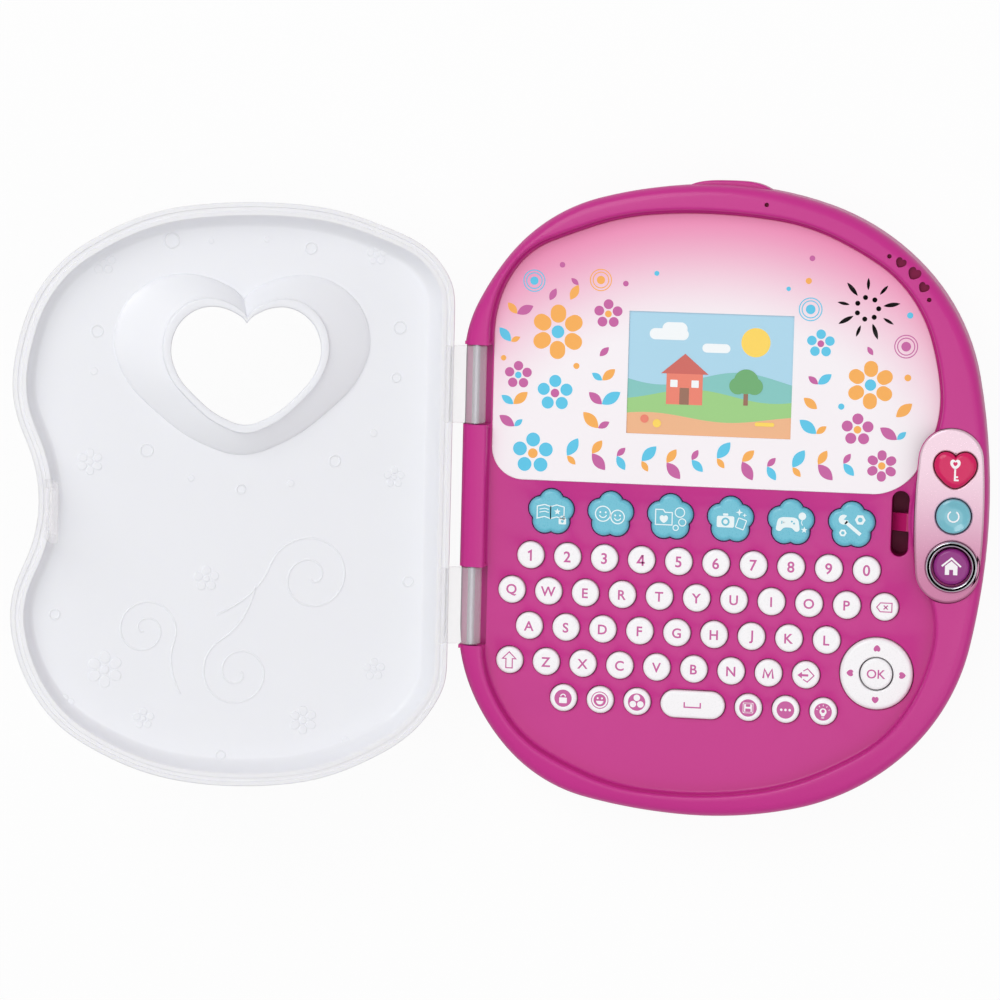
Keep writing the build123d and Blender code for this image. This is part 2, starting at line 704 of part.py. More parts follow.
def key_mat():
    """Silicone mat on the board with a collapsing dome under each key, and three on the side board."""
    sheet = raised(offset(board_outline(), amount=-1.5), board_top, mat_top)
    space_left, space_right = (space_at[0] - 5, space_at[1]), (space_at[0] + 5, space_at[1])
    tops = [*round_keys_at, *flowers_at, space_left, space_right, dpad_at]
    domes = Sketch() + [Pos(*place) * disc(dome_radius, dome_sides) for place in tops]
    reach = (dpad_radius + ok_radius) / 2
    domes += [Pos(*dpad_at) * Rot(0, 0, 90 * i) * Pos(reach, 0) * disc(dome_radius * 0.6, dome_sides)
              for i in range(4)]
    side = [post(x, y, dome_radius, side_board_top, side_button_bottom) for x, y in side_buttons_at.values()]
    return [sheet + raised(domes, mat_top - 0.4, key_bottom), *side]


# ---- power ------------------------------------------------------------------------------------
def batteries():
    """Four AA cells side by side, every other one turned round."""
    half = cell_length / 2
    cell = raised(disc(cell_radius, key_sides), -half, half - nub_height)
    cell = Rot(-90, 0, 0) * (cell + raised(disc(nub_radius), half - nub_height, half))
    return [Pos(x, screen_at[1], cell_z) * Rot(0, 0, 180 * (i % 2)) * cell for i, x in enumerate(cells_at)]


def battery_contacts():
    """Sprung strips at the ends of the cells, each linking two neighbours or leading away."""
    contacts = []
    reach = (bay_length - cell_length) / 2
    for side, groups in ((1, ((0,), (1, 2), (3,))), (-1, ((0, 1), (2, 3)))):
        wall_y = screen_at[1] + side * bay_length / 2
        for group in groups:
            x = sum(cells_at[i] for i in group) / len(group)
            width = 9 + (len(group) - 1) * cell_pitch
            plate = block(x, wall_y - side * 0.25, cell_z - 5, width, 0.5, 10)
            fingers = [Pos(cells_at[i], wall_y, cell_z) * contact_finger(side, reach) for i in group]
            contacts.append(plate + fingers)
    return contacts


def contact_finger(side, reach):
    """Strip bent to a blunt V that presses on one cell."""
    tip = side * (0.15 - reach)
    path = [(0, -4.0), (tip, -0.8), (tip, 0.8), (0, 4.0), (0, 3.2), (tip + side * 0.5, 0.5),
            (tip + side * 0.5, -0.5), (0, -3.2)]
    return Pos(3, 0, 0) * extrude(Plane.YZ * make_face(Polyline(*path, close=True)), -6)


def battery_door():
    """Flat cover over the cells with an ear at each end for its screw, and grip ridges."""
    door = raised(door_outline(), floor_bottom, floor_bottom + door_thickness)
    for x, y in door_ears_at:
        door -= post(x, y, screw_radius + 0.3, 0, floor_top + 1)
        door -= post(x, y, screw_head_radius + 0.2, 0, floor_bottom + 1.0)
    x, y = screen_at
    for i in range(5):
        door -= block(x, y - door_length / 2 + 5 + 2.4 * i, floor_bottom, 24, 1.2, 0.5)
    return door


def screw(x, y, head_bottom, head_height, length):
    """Pan-head screw that goes in from below."""
    head = post(x, y, screw_head_radius, head_bottom, head_bottom + head_height)
    head = chamfer(head.faces().sort_by(Axis.Z)[0].edges(), head_height / 3)
    return head + post(x, y, screw_radius - 0.05, head_bottom + head_height - 0.1, head_bottom + length)


def door_screws():
    """The battery door's two captive screws."""
    return [screw(x, y, floor_bottom - 0.1, 1.0, door_screw_length) for x, y in door_ears_at]


def case_screws():
    """Six screws that draw the two halves together."""
    return [screw(x, y, floor_bottom + wall, screw_head_height - fit_gap, screw_length) for x, y in screws_at]


# ---- lock -------------------------------------------------------------------------------------
def latch_bolt():
    """Bolt with a sloped nose, a collar for its spring and a rod that runs in the solenoid."""
    tip = slot_x - slot_wide / 2 - bolt_gap
    half = bolt_height / 2
    nose = Polyline((tip, -half), (tip + bolt_bar, -half), (tip + bolt_bar, half), (tip + nose_length, half),
                    (tip, 1.0 - half), close=True)
    bar = Pos(0, slot_y, bolt_z) * extrude(Plane.XZ * make_face(nose), bolt_width / 2, both=True)
    collar_x = tip + bolt_bar
    collar = Pos(collar_x + collar_thickness / 2, slot_y, bolt_z) * Box(collar_thickness, collar_width,
                                                                       bolt_height + 2)
    rod = Pos(collar_x + collar_thickness + rod_length / 2, slot_y, bolt_z) * Rot(0, 90, 0) * Cylinder(
        rod_radius, rod_length)
    return bar + collar + rod


def latch_spring():
    """Compression spring between the bolt's collar and the lock's bracket."""
    inset = spring_wire / 2 + 0.1
    pitch = (spring_length - 2 * inset) / spring_turns
    turns = [i / spring_steps for i in range(spring_turns * spring_steps + 1)]
    path = Polyline(*[(pitch * turn, spring_radius * cos(2 * pi * turn), spring_radius * sin(2 * pi * turn))
                      for turn in turns])
    section = Plane(path @ 0, z_dir=path % 0) * Rectangle(spring_wire, spring_wire)
    wire = sweep(section, path=path, transition=Transition.RIGHT)
    return Pos(solenoid_x() - spring_length + inset, slot_y, bolt_z) * wire


def lock_solenoid():
    """Coil in a U-shaped steel bracket, bored for the bolt's rod."""
    x = solenoid_x()
    length = coil_length + 2 * bracket_thickness
    size = 2 * coil_radius
    bottom = bolt_z - coil_radius - bracket_thickness
    bracket = block(x + length / 2, slot_y, bottom, length, size, size + bracket_thickness)
    bracket -= block(x + length / 2, slot_y, bottom + bracket_thickness, coil_length, size + 1, size + 5)
    middle = Pos(x + length / 2, slot_y, bolt_z) * Rot(0, 90, 0)
    bore = middle * raised(disc(rod_radius + bolt_gap, key_sides), -length, length)
    coil = middle * raised(disc(coil_radius - fit_gap, key_sides), -coil_length / 2, coil_length / 2)
    return [bracket - bore, coil - bore]


# ---- lid --------------------------------------------------------------------------------------
def shut_turn(shape):
    """Turns a shape about the hinge axis from where it is with the lid open to where it is shut."""
    return shape.rotate(Axis((0, 0, hinge_z), (0, 1, 0)), lid_opening)


def lid():
    """Clear moulding, drawn shut: flange, dished panel, heart cup, hinge barrels and clip."""
    dome_face = offset(lid_face, amount=-flange_width)
    dome = raised(dome_face, flange_bottom, dome_top)
    top_side = dome.faces().sort_by(Axis.Z)[-1]
    dome = chamfer(top_side.edges(), dome_inset, dome_drop, reference=top_side)
    slope = degrees(atan2(dome_inset, dome_drop))
    hollow = raised(offset(dome_face, amount=-lid_wall), flange_bottom - 1, dome_top - dome_drop)
    hollow += extrude(hollow.faces().sort_by(Axis.Z)[-1], dome_drop - lid_wall, taper=slope)
    cup_bottom = faceplate_top + window_clearance
    wide = heart(cup_width, cup_height, screen_at)
    narrow = heart(window_width, window_height, screen_at)
    lipped = heart(window_width + 2 * window_lip, window_height + 2 * window_lip, screen_at)
    outer = heart(cup_width + 2 * window_lip, cup_height + 2 * window_lip, screen_at)
    cup = loft([Pos(0, 0, dome_top - lid_wall / 2) * outer, Pos(0, 0, cup_bottom) * lipped], ruled=True)
    inside = loft([Pos(0, 0, dome_top + 0.01) * wide, Pos(0, 0, cup_bottom) * narrow], ruled=True)
    through = raised(narrow, cup_bottom - 1, cup_bottom + 0.1)
    shell = dome + raised(lid_face, flange_bottom, flange_top) - hollow + hinge_tabs() + clip_loop() + cup
    return shell - inside - through - hinge_bores()


def hinge_tabs():
    """Barrels on their tabs, each with a heel that meets the notch floor when the lid is open."""
    tabs = []
    for centre in tabs_at:
        barrel = Pos(0, centre, hinge_z) * Rot(90, 0, 0) * Cylinder(barrel_radius, tab_length)
        reach = lid_left + flange_width + lid_wall - 0.8
        tab = block(reach / 2, centre, flange_bottom, reach, tab_length, flange_thickness)
        heel_drop = barrel_radius + notch_floor_gap - stop_gap
        heel = block(-heel_width / 2, centre, hinge_z - heel_drop, heel_width, tab_length, heel_drop)
        tabs += [barrel, tab, shut_turn(heel)]
    return tabs


def hinge_bores():
    return [Pos(0, centre, hinge_z) * Rot(90, 0, 0) * Cylinder(pin_radius + pin_run_gap, tab_length + 1)
            for centre in tabs_at]


def clip_loop():
    """Loop that drops into the slot so that the bolt can pass through it."""
    loop = block(slot_x, slot_y, clip_bottom, clip_thick, clip_wide, flange_top - clip_bottom)
    return loop - block(slot_x, slot_y, clip_bottom + clip_foot, 2 * clip_thick, clip_window,
                        flange_bottom - clip_bottom - clip_foot)


def hinge_pins():
    """Two steel pins."""
    return [Pos(0, (low + high) / 2, hinge_z) * Rot(90, 0, 0) * Cylinder(pin_radius, high - low)
            for low, high in pin_spans]


# ---- keys and buttons -------------------------------------------------------------------------
def round_key(x, y):
    """Round key cap."""
    return post(x, y, key_diameter / 2, key_bottom, key_bottom + key_height, key_sides)


def flower_key(x, y):
    return raised(Pos(x, y) * flower(), key_bottom, key_bottom + key_height)


def space_key():
    return raised(Pos(*space_at) * pill(space_width, space_depth), key_bottom, key_bottom + key_height)


def dpad_ring():
    """Four-way ring with a hole for the OK key."""
    ring = post(*dpad_at, dpad_radius, key_bottom, key_bottom + key_height, fine_sides)
    ring = chamfer(ring.faces().sort_by(Axis.Z)[-1].edges(), dpad_chamfer)
    return ring - post(*dpad_at, ok_radius + ok_gap, key_bottom - 1, key_bottom + key_height + 1, key_sides)


def ok_button():
    return post(*dpad_at, ok_radius, key_bottom, key_bottom + key_height, key_sides)


def side_button(face):
    """Side button that narrows to its top."""
    crown_bottom = panel_top + side_button_proud - side_button_crown
    crown = Pos(0, 0, crown_bottom) * extrude(face, side_button_crown, taper=side_button_slope)
    return raised(face, side_button_bottom, crown_bottom) + crown


# ---- the whole diary --------------------------------------------------------------------------
def root_pieces():
    return {"rear_case": rear_case(), "front_case": front_case(), "faceplate": faceplate(),
            "lcd_module": lcd_module(), "main_board": main_board(), "key_mat": key_mat(),
            "speaker": speaker(), "batteries": batteries(), "battery_contacts": battery_contacts(),
            "button_panel": button_panel(), "chrome_ring": chrome_ring(), "case_screws": case_screws(),
            "hinge_pins": hinge_pins(), "camera_module": camera_module(), "lock_solenoid": lock_solenoid()}


def camera_module():
    """Camera block on the inside of the wall, with its lens barrel through the wall."""
    x, y = camera_face()
    barrel = raised(disc(lens_radius, key_sides), -wall / 2 - 1.2, wall / 2 + 1.2)
    return Pos(x, y, pod_z) * (camera_body() + Pos(0, -wall / 2 - 0.2, 0) * Rot(90, 0, 0) * barrel)


def camera_body(gap=0.0):
    """The camera's block, or the pocket for it, by the middle of the outer wall."""
    return Pos(0, -wall - 2.4, 0) * Box(9 + 2 * gap, 3.6 + 2 * gap, 9 + 2 * gap)


def key_pieces():
    pieces = {f"key_{letter}": round_key(*place) for letter, place in letters_at.items()}
    pieces |= {f"flower_key_{i + 1}": flower_key(*place) for i, place in enumerate(flowers_at)}
    pieces["number_keys"] = [round_key(*place) for place in number_keys_at]
    pieces["function_keys"] = [round_key(*place) for place in function_keys_at]
    pieces |= {"space_key": space_key(), "dpad_ring": dpad_ring(), "ok_button": ok_button()}
    return pieces


def button_pieces():
    power = Pos(*side_buttons_at["power"]) * disc(power_radius, fine_sides)
    home = Pos(*side_buttons_at["home"]) * disc(home_radius, fine_sides)
    return {"heart_button": side_button(heart_outline()), "power_button": side_button(power),
            "home_button": side_button(home)}


def whole_diary():
    """Every node, with the lid open and the origin under the middle of the open diary."""
    pieces = root_pieces() | key_pieces() | button_pieces()
    pieces |= {"latch_bolt": latch_bolt(), "latch_spring": latch_spring(),
               "battery_door": battery_door(), "door_screws": door_screws()}
    pieces["lid"] = lid().rotate(Axis((0, 0, hinge_z), (0, 1, 0)), -lid_opening)
    solids = {name: solids_of(piece) for name, piece in pieces.items()}
    middle = Compound([solid for group in solids.values() for solid in group]).bounding_box().center()
    shift = Pos(-middle.X, -middle.Y, 0)
    return {name: [shift * solid for solid in group] for name, group in solids.items()}, shift


def solids_of(piece):
    """The separate solids of one node."""
    if isinstance(piece, list):
        return [solid for one in piece for solid in one.solids()]
    return list(piece.solids())


os.makedirs("parts", exist_ok=True)
nodes, diary_shift = whole_diary()
for node, group in nodes.items():
    export_step(group[0] if len(group) == 1 else Compound(group), f"parts/{node}.step")
print(len(nodes), "nodes,", sum(len(group) for group in nodes.values()), "solids, moved by",
      tuple(round(value, 3) for value in diary_shift.position))
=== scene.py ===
"""Looks of the electronic secret diary: outlines and pieces in millimetres of the drawing in which the
hinge axis lies along Y at x = 0, z = 0 is the table and the lid is shut; each piece is put into the row
frame when it is made."""

import json
from math import atan2, ceil, cos, pi, radians, sin

import bmesh
import bpy
import numpy as np
from mathutils import Matrix, Vector
from mathutils.geometry import delaunay_2d_cdt


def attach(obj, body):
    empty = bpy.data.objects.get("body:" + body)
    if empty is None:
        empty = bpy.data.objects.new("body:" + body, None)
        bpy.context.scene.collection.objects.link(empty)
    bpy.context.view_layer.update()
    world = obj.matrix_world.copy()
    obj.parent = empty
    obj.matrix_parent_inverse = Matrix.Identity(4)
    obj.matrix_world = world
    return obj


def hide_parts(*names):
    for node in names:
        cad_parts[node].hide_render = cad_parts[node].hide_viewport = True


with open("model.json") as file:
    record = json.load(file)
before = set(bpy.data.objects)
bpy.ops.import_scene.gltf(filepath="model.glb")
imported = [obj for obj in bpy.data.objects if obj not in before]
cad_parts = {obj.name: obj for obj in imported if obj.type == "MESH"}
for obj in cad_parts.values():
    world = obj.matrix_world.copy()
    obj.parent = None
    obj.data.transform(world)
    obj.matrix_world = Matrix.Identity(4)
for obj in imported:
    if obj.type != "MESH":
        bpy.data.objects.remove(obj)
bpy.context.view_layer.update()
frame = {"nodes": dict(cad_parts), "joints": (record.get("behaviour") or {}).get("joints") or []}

# ---- sizes, as in the part's source -------------------------------------------------------------
HINGE_Z = 27.3
TAB_CENTRES, TAB_LENGTH = (42.25, -38.0), 27.9
LID_OPENING = 155.0
PART_LINE, RIM_TOP, DECK_TOP, DECK_UNDER = 14.0, 31.0, 25.0, 22.8
WALL = 2.2
SIDE_X, RECESS_X, LID_X = -4.6, 4.8, 8.4
CASE_CURVE = [(-44, SIDE_X), (14.6, -90.0), (78.0, -110.6), (155.0, -87.3), (184.0, 6.0), (158.7, 88.2),
              (83.6, 116.0), (10.5, 88.4), (52, SIDE_X)]
RECESS_CURVE = [(-52, RECESS_X), (14.5, -78.5), (45.0, -98.2), (84.0, -103.0), (128.0, -93.0), (153.5, -75.0),
                (166.8, -45.0), (157.2, 0.0), (166.6, 47.0), (154.5, 80.0), (128.0, 98.7), (84.0, 106.8),
                (40.0, 101.0), (14.0, 87.0), (60, RECESS_X)]
HEART_CURVE = [(0.0, 0.56), (0.24, 0.735), (0.55, 0.77), (0.87, 0.58), (1.0, 0.2), (0.91, -0.12), (0.66, -0.42),
               (0.34, -0.67), (0.0, -0.784)]
HEART_SPAN = 0.775 + 0.784
KEY_RADIUS, KEY_GAP, KEY_TOP, KEY_BOTTOM = 4.9, 0.3, 26.6, 22.0
KEY_PITCH, ROW_PITCH, FIRST_ROW = 13.43, 12.9, -18.9
FLOWER_FIRST, FLOWER_PITCH = (28.2, -3.1), 21.6
PETAL_RADIUS, PETAL_CIRCLE = 4.4, 4.0
SPACE_AT, SPACE_SIZE = (81.5, FIRST_ROW - 4 * ROW_PITCH), (23.2, 10.0)
DPAD_AT, DPAD_RADIUS, OK_RADIUS, OK_GAP = (146.8, -55.9), 12.95, 5.65, 0.5
SCREEN_AT, SCREEN_SIZE = (84.0, 48.5), (58.8, 43.8)
SPEAKER_AT = (139.0, 74.0)
FACEPLATE_TOP, FACEPLATE_BOTTOM_Y, FACEPLATE_CORNER = 25.6, 8.3, 11.5
SLOT_AT, SLOT_SIZE, SLOT_FLOOR = (153.2, -1.9), (6.1, 23.3), 13.2
PANEL_AT, PANEL_SIZE = (170.5, 2.3), (24.2, 61.8)
PANEL_BOTTOM, PANEL_TOP = 29.8, 31.6
BUTTON_X, BUTTON_TOP, BUTTON_BOTTOM, BUTTON_GAP = 172.0, 33.0, 26.2, 0.35
HEART_AT, HEART_SIZE = (BUTTON_X, 18.6), (14.8, 12.7)
POWER_AT, POWER_RADIUS = (BUTTON_X, 2.3), 6.05
HOME_AT, HOME_RADIUS, RING_RADII, RING_TOP = (BUTTON_X, -15.5), 6.4, (9.0, 7.1), 33.6
MIC_AT, RIM_DOTS = (102.7, 109.4), ((146.2, 92.7), (160.6, 77.9))
RIM_HEARTS = ((150.2, 90.5, 3.8), (155.0, 86.8, 4.6), (158.5, 82.1, 3.8))
FLANGE_BOTTOM, FLANGE_TOP, DOME_TOP, DOME_UNDER = 27.1, 29.1, 36.0, 34.0
WINDOW_SIZE, CUP_SIZE, LIP = (53.6, 41.5), (87.8, 59.6), 2.2
BARREL_RADIUS, PIN_RADIUS, NOTCH_FLOOR = 3.7, 1.25, 22.9
LENS_RADIUS = 3.0

CAP_HEIGHT = 0.73

# ---- from the drawing into the row frame ----------------------------------------------------------
hinge = Vector(next(j for j in frame["joints"] if j["name"] == "lid_hinge")["pos_m"])
AT_REST = Matrix.Translation(hinge - Vector((0, sum(TAB_CENTRES) / 2, HINGE_Z)) / 1000) @ Matrix.Scale(0.001, 4)
axis_at = Vector((0, 0, HINGE_Z))
LID_OPEN = (AT_REST @ Matrix.Translation(axis_at) @ Matrix.Rotation(radians(-LID_OPENING), 4, "Y")
            @ Matrix.Translation(-axis_at))


# ---- outlines ---------------------------------------------------------------------------------
def turned(points, degrees):
    """The points turned about the origin."""
    c, s = cos(radians(degrees)), sin(radians(degrees))
    return np.asarray(points, float) @ np.array([[c, s], [-s, c]])


def arc_points(start, end, direction, step):
    """Points along the arc from start to end that leaves start in this direction, without its end."""
    chord = end - start
    heading = atan2(direction[1], direction[0])
    lean = atan2(direction[0] * chord[1] - direction[1] * chord[0], float(direction @ chord))
    length = float(np.hypot(*chord))
    count = max(2, ceil(length / step), ceil(abs(2 * lean) / 0.12))
    t = np.arange(count)[:, None] / count
    if abs(lean) < 1e-6:
        return start + chord * t
    radius = length / (2 * sin(lean))
    ahead = heading + 2 * lean * t
    return start + radius * np.hstack([np.sin(ahead) - sin(heading), cos(heading) - np.cos(ahead)])


def arc_chain(points, first, last, step=1.2):
    """Points along a smooth chain of arcs, two for each gap between the given points."""
    points = [np.array(p, float) for p in points]
    unit = lambda v: np.array(v, float) / np.hypot(*v)
    directions = [unit(first)]
    for before, here, after in zip(points, points[1:], points[2:]):
        arrive, leave = here - before, after - here
        a, b = np.hypot(*arrive), np.hypot(*leave)
        directions.append(unit(arrive * b / a + leave * a / b))
    directions.append(unit(last))
    parts = []
    for start, end, out, home in zip(points, points[1:], directions, directions[1:]):
        span, both = end - start, out + home
        bend = 2 * (1 - out @ home)
        reach = (((span @ both) ** 2 + bend * (span @ span)) ** 0.5 - span @ both) / bend
        middle = (start + end + (out - home) * reach) / 2
        back = arc_points(end, middle, -home, step)
        parts += [arc_points(start, middle, out, step), np.vstack([middle, back[:0:-1]])]
    return np.vstack(parts)


def straight(start, end, step=2.0):
    """Points along a line, without its end."""
    start, end = np.array(start, float), np.array(end, float)
    count = max(1, round(np.hypot(*(end - start)) / step))
    return start + (end - start) * np.arange(count)[:, None] / count


def page_outline(curve, step=1.2):
    """Closed outline of the curve and the straight hinge side."""
    (foot, side), *middle, (head, _) = curve
    points = [(side, foot), *middle, (side, head)]
    return np.vstack([arc_chain(points, (0, -1), (0, -1), step), straight(points[-1], points[0])])


def heart(width, height, centre=(0, 0), step=1.2):
    """Heart-shaped outline, anticlockwise from its notch."""
    right = [(x * width / 2, y * height / HEART_SPAN) for x, y in HEART_CURVE]
    half = arc_chain(right, (0.5, 0.85), (-1, 0), step)
    mirrored = np.vstack([half[1:], [right[-1]]])[::-1] * (-1, 1)
    return np.vstack([half, mirrored])[::-1] + centre


def circle(radius, centre=(0, 0), count=48):
    turn = 2 * pi * np.arange(count) / count
    return np.stack([np.cos(turn), np.sin(turn)], 1) * radius + centre


def arc(radius, start, end, centre=(0, 0), count=16):
    turn = np.radians(np.linspace(start, end, count))
    return np.stack([np.cos(turn), np.sin(turn)], 1) * radius + centre


def box(width, height, radius=0.0, centre=(0, 0)):
    """Rectangle with rounded corners."""
    w, h = width / 2 - radius, height / 2 - radius
    corners = [arc(radius, a, a + 90, (x, y), 8) if radius else np.array([(x, y)])
               for a, x, y in ((0, w, h), (90, -w, h), (180, -w, -h), (270, w, -h))]
    return np.vstack(corners) + centre


def pill(width, height, centre=(0, 0)):
    """Oblong with round ends, the longer way along X or Y."""
    if width < height:
        return turned(pill(height, width), 90) + centre
    w, r = (width - height) / 2, height / 2
    return np.vstack([arc(r, -90, 90, (w, 0), 20), arc(r, 90, 270, (-w, 0), 20)]) + centre


def petals(count, circle_radius, petal_radius, centre=(0, 0), steps=18, turn=90):
    """Outline of round petals: the union of circles whose centres lie on a circle."""
    angle = np.arange(count * steps) / (count * steps) * 2 * pi
    part = 2 * pi / count
    off = (angle + part / 2) % part - part / 2
    reach = circle_radius * np.cos(off) + np.sqrt(petal_radius ** 2 - (circle_radius * np.sin(off)) ** 2)
    angle = angle + radians(turn)
    return np.stack([np.cos(angle), np.sin(angle)], 1) * reach[:, None] + centre


def inset(loop, distance):
    """Anticlockwise loop moved inwards by a distance, with mitred corners."""
    edge = np.roll(loop, -1, 0) - loop
    normal = np.stack([edge[:, 1], -edge[:, 0]], 1) / np.hypot(edge[:, 0], edge[:, 1])[:, None]
    before = np.roll(normal, 1, 0)
    mitre = (before + normal) / np.maximum(1 + (before * normal).sum(1), 0.35)[:, None]
    return loop - mitre * distance


def softened(loop, times):
    """The loop with its corners rounded off by averaging."""
    for _ in range(times):
        loop = (np.roll(loop, 1, 0) + 2 * loop + np.roll(loop, -1, 0)) / 4
    return loop


def evenly(loop, step):
    """The closed loop with points at an even step."""
    closed = np.vstack([loop, loop[:1]])
    run = np.concatenate([[0], np.cumsum(np.hypot(*np.diff(closed, axis=0).T))])
    at = np.linspace(0, run[-1], round(run[-1] / step), endpoint=False)
    return np.stack([np.interp(at, run, closed[:, i]) for i in (0, 1)], 1)


def rounded_corner(loop, corner, radius):
    """The loop with one corner replaced by an arc that starts and ends this far from it."""
    corner = np.array(corner, float)
    near = np.hypot(*(loop - corner).T) < radius
    start = int(np.argmax(near & ~np.roll(near, 1)))
    rolled, kept = np.roll(loop, -start, 0), ~np.roll(near, -start)
    rest = rolled[kept]
    unit = lambda v: v / np.hypot(*v)
    a, b = corner + unit(rest[-1] - corner) * radius, corner + unit(rest[0] - corner) * radius
    t = np.linspace(0, 1, 15)[:, None]
    weights = (1 - t) ** 2, 2 * t * (1 - t) * 0.7071, t ** 2
    turn = (weights[0] * a + weights[1] * corner + weights[2] * b) / sum(weights)
    return np.vstack([rest, turn])


def right_of(loop, x):
    """The part of a loop to the right of x, closed by a straight side."""
    keep = loop[:, 0] > x
    start = int(np.argmax(keep & ~np.roll(keep, 1)))
    rolled, kept = np.roll(loop, -start, 0), np.roll(keep, -start)
    body = rolled[kept]
    foot, head = (x, body[0, 1]), (x, body[-1, 1])
    return np.vstack([body, straight(head, foot)])


def inside(points, loops):
    """Which points lie inside an odd number of the loops."""
    result = np.zeros(len(points), bool)
    x, y = points[:, :1], points[:, 1:]
    for loop in loops:
        x1, y1 = loop.T
        x2, y2 = np.roll(loop, -1, 0).T
        crosses = (y1 > y) != (y2 > y)
        with np.errstate(divide="ignore", invalid="ignore"):
            left = x < (x2 - x1) * (y - y1) / (y2 - y1) + x1
        result ^= (crosses & left).sum(1) % 2 == 1
    return result


def distance_to(points, loop):
    """Distance of each point to a loop."""
    a, b = loop, np.roll(loop, -1, 0)
    ab = b - a
    best = np.full(len(points), 1e9)
    for start in range(0, len(points), 400):
        p = points[start:start + 400, None]
        t = np.clip(((p - a) * ab).sum(2) / (ab ** 2).sum(1), 0, 1)
        best[start:start + 400] = np.sqrt((((p - a) - ab * t[..., None]) ** 2).sum(2).min(1))
    return best


def ribbon(points, width, closed=False):
    """A line of some width as (outline, holes)."""
    points = np.asarray(points, float)
    if closed:
        return inset(points, -width / 2), [inset(points, width / 2)]
    step = np.diff(points, axis=0)
    normal = np.stack([-step[:, 1], step[:, 0]], 1) / np.hypot(*step.T)[:, None]
    first, last = np.vstack([normal[:1], normal]), np.vstack([normal, normal[-1:]])
    mitre = (first + last) / np.maximum(1 + (first * last).sum(1), 0.4)[:, None] * width / 2
    return np.vstack([points - mitre, (points + mitre)[::-1]]), []


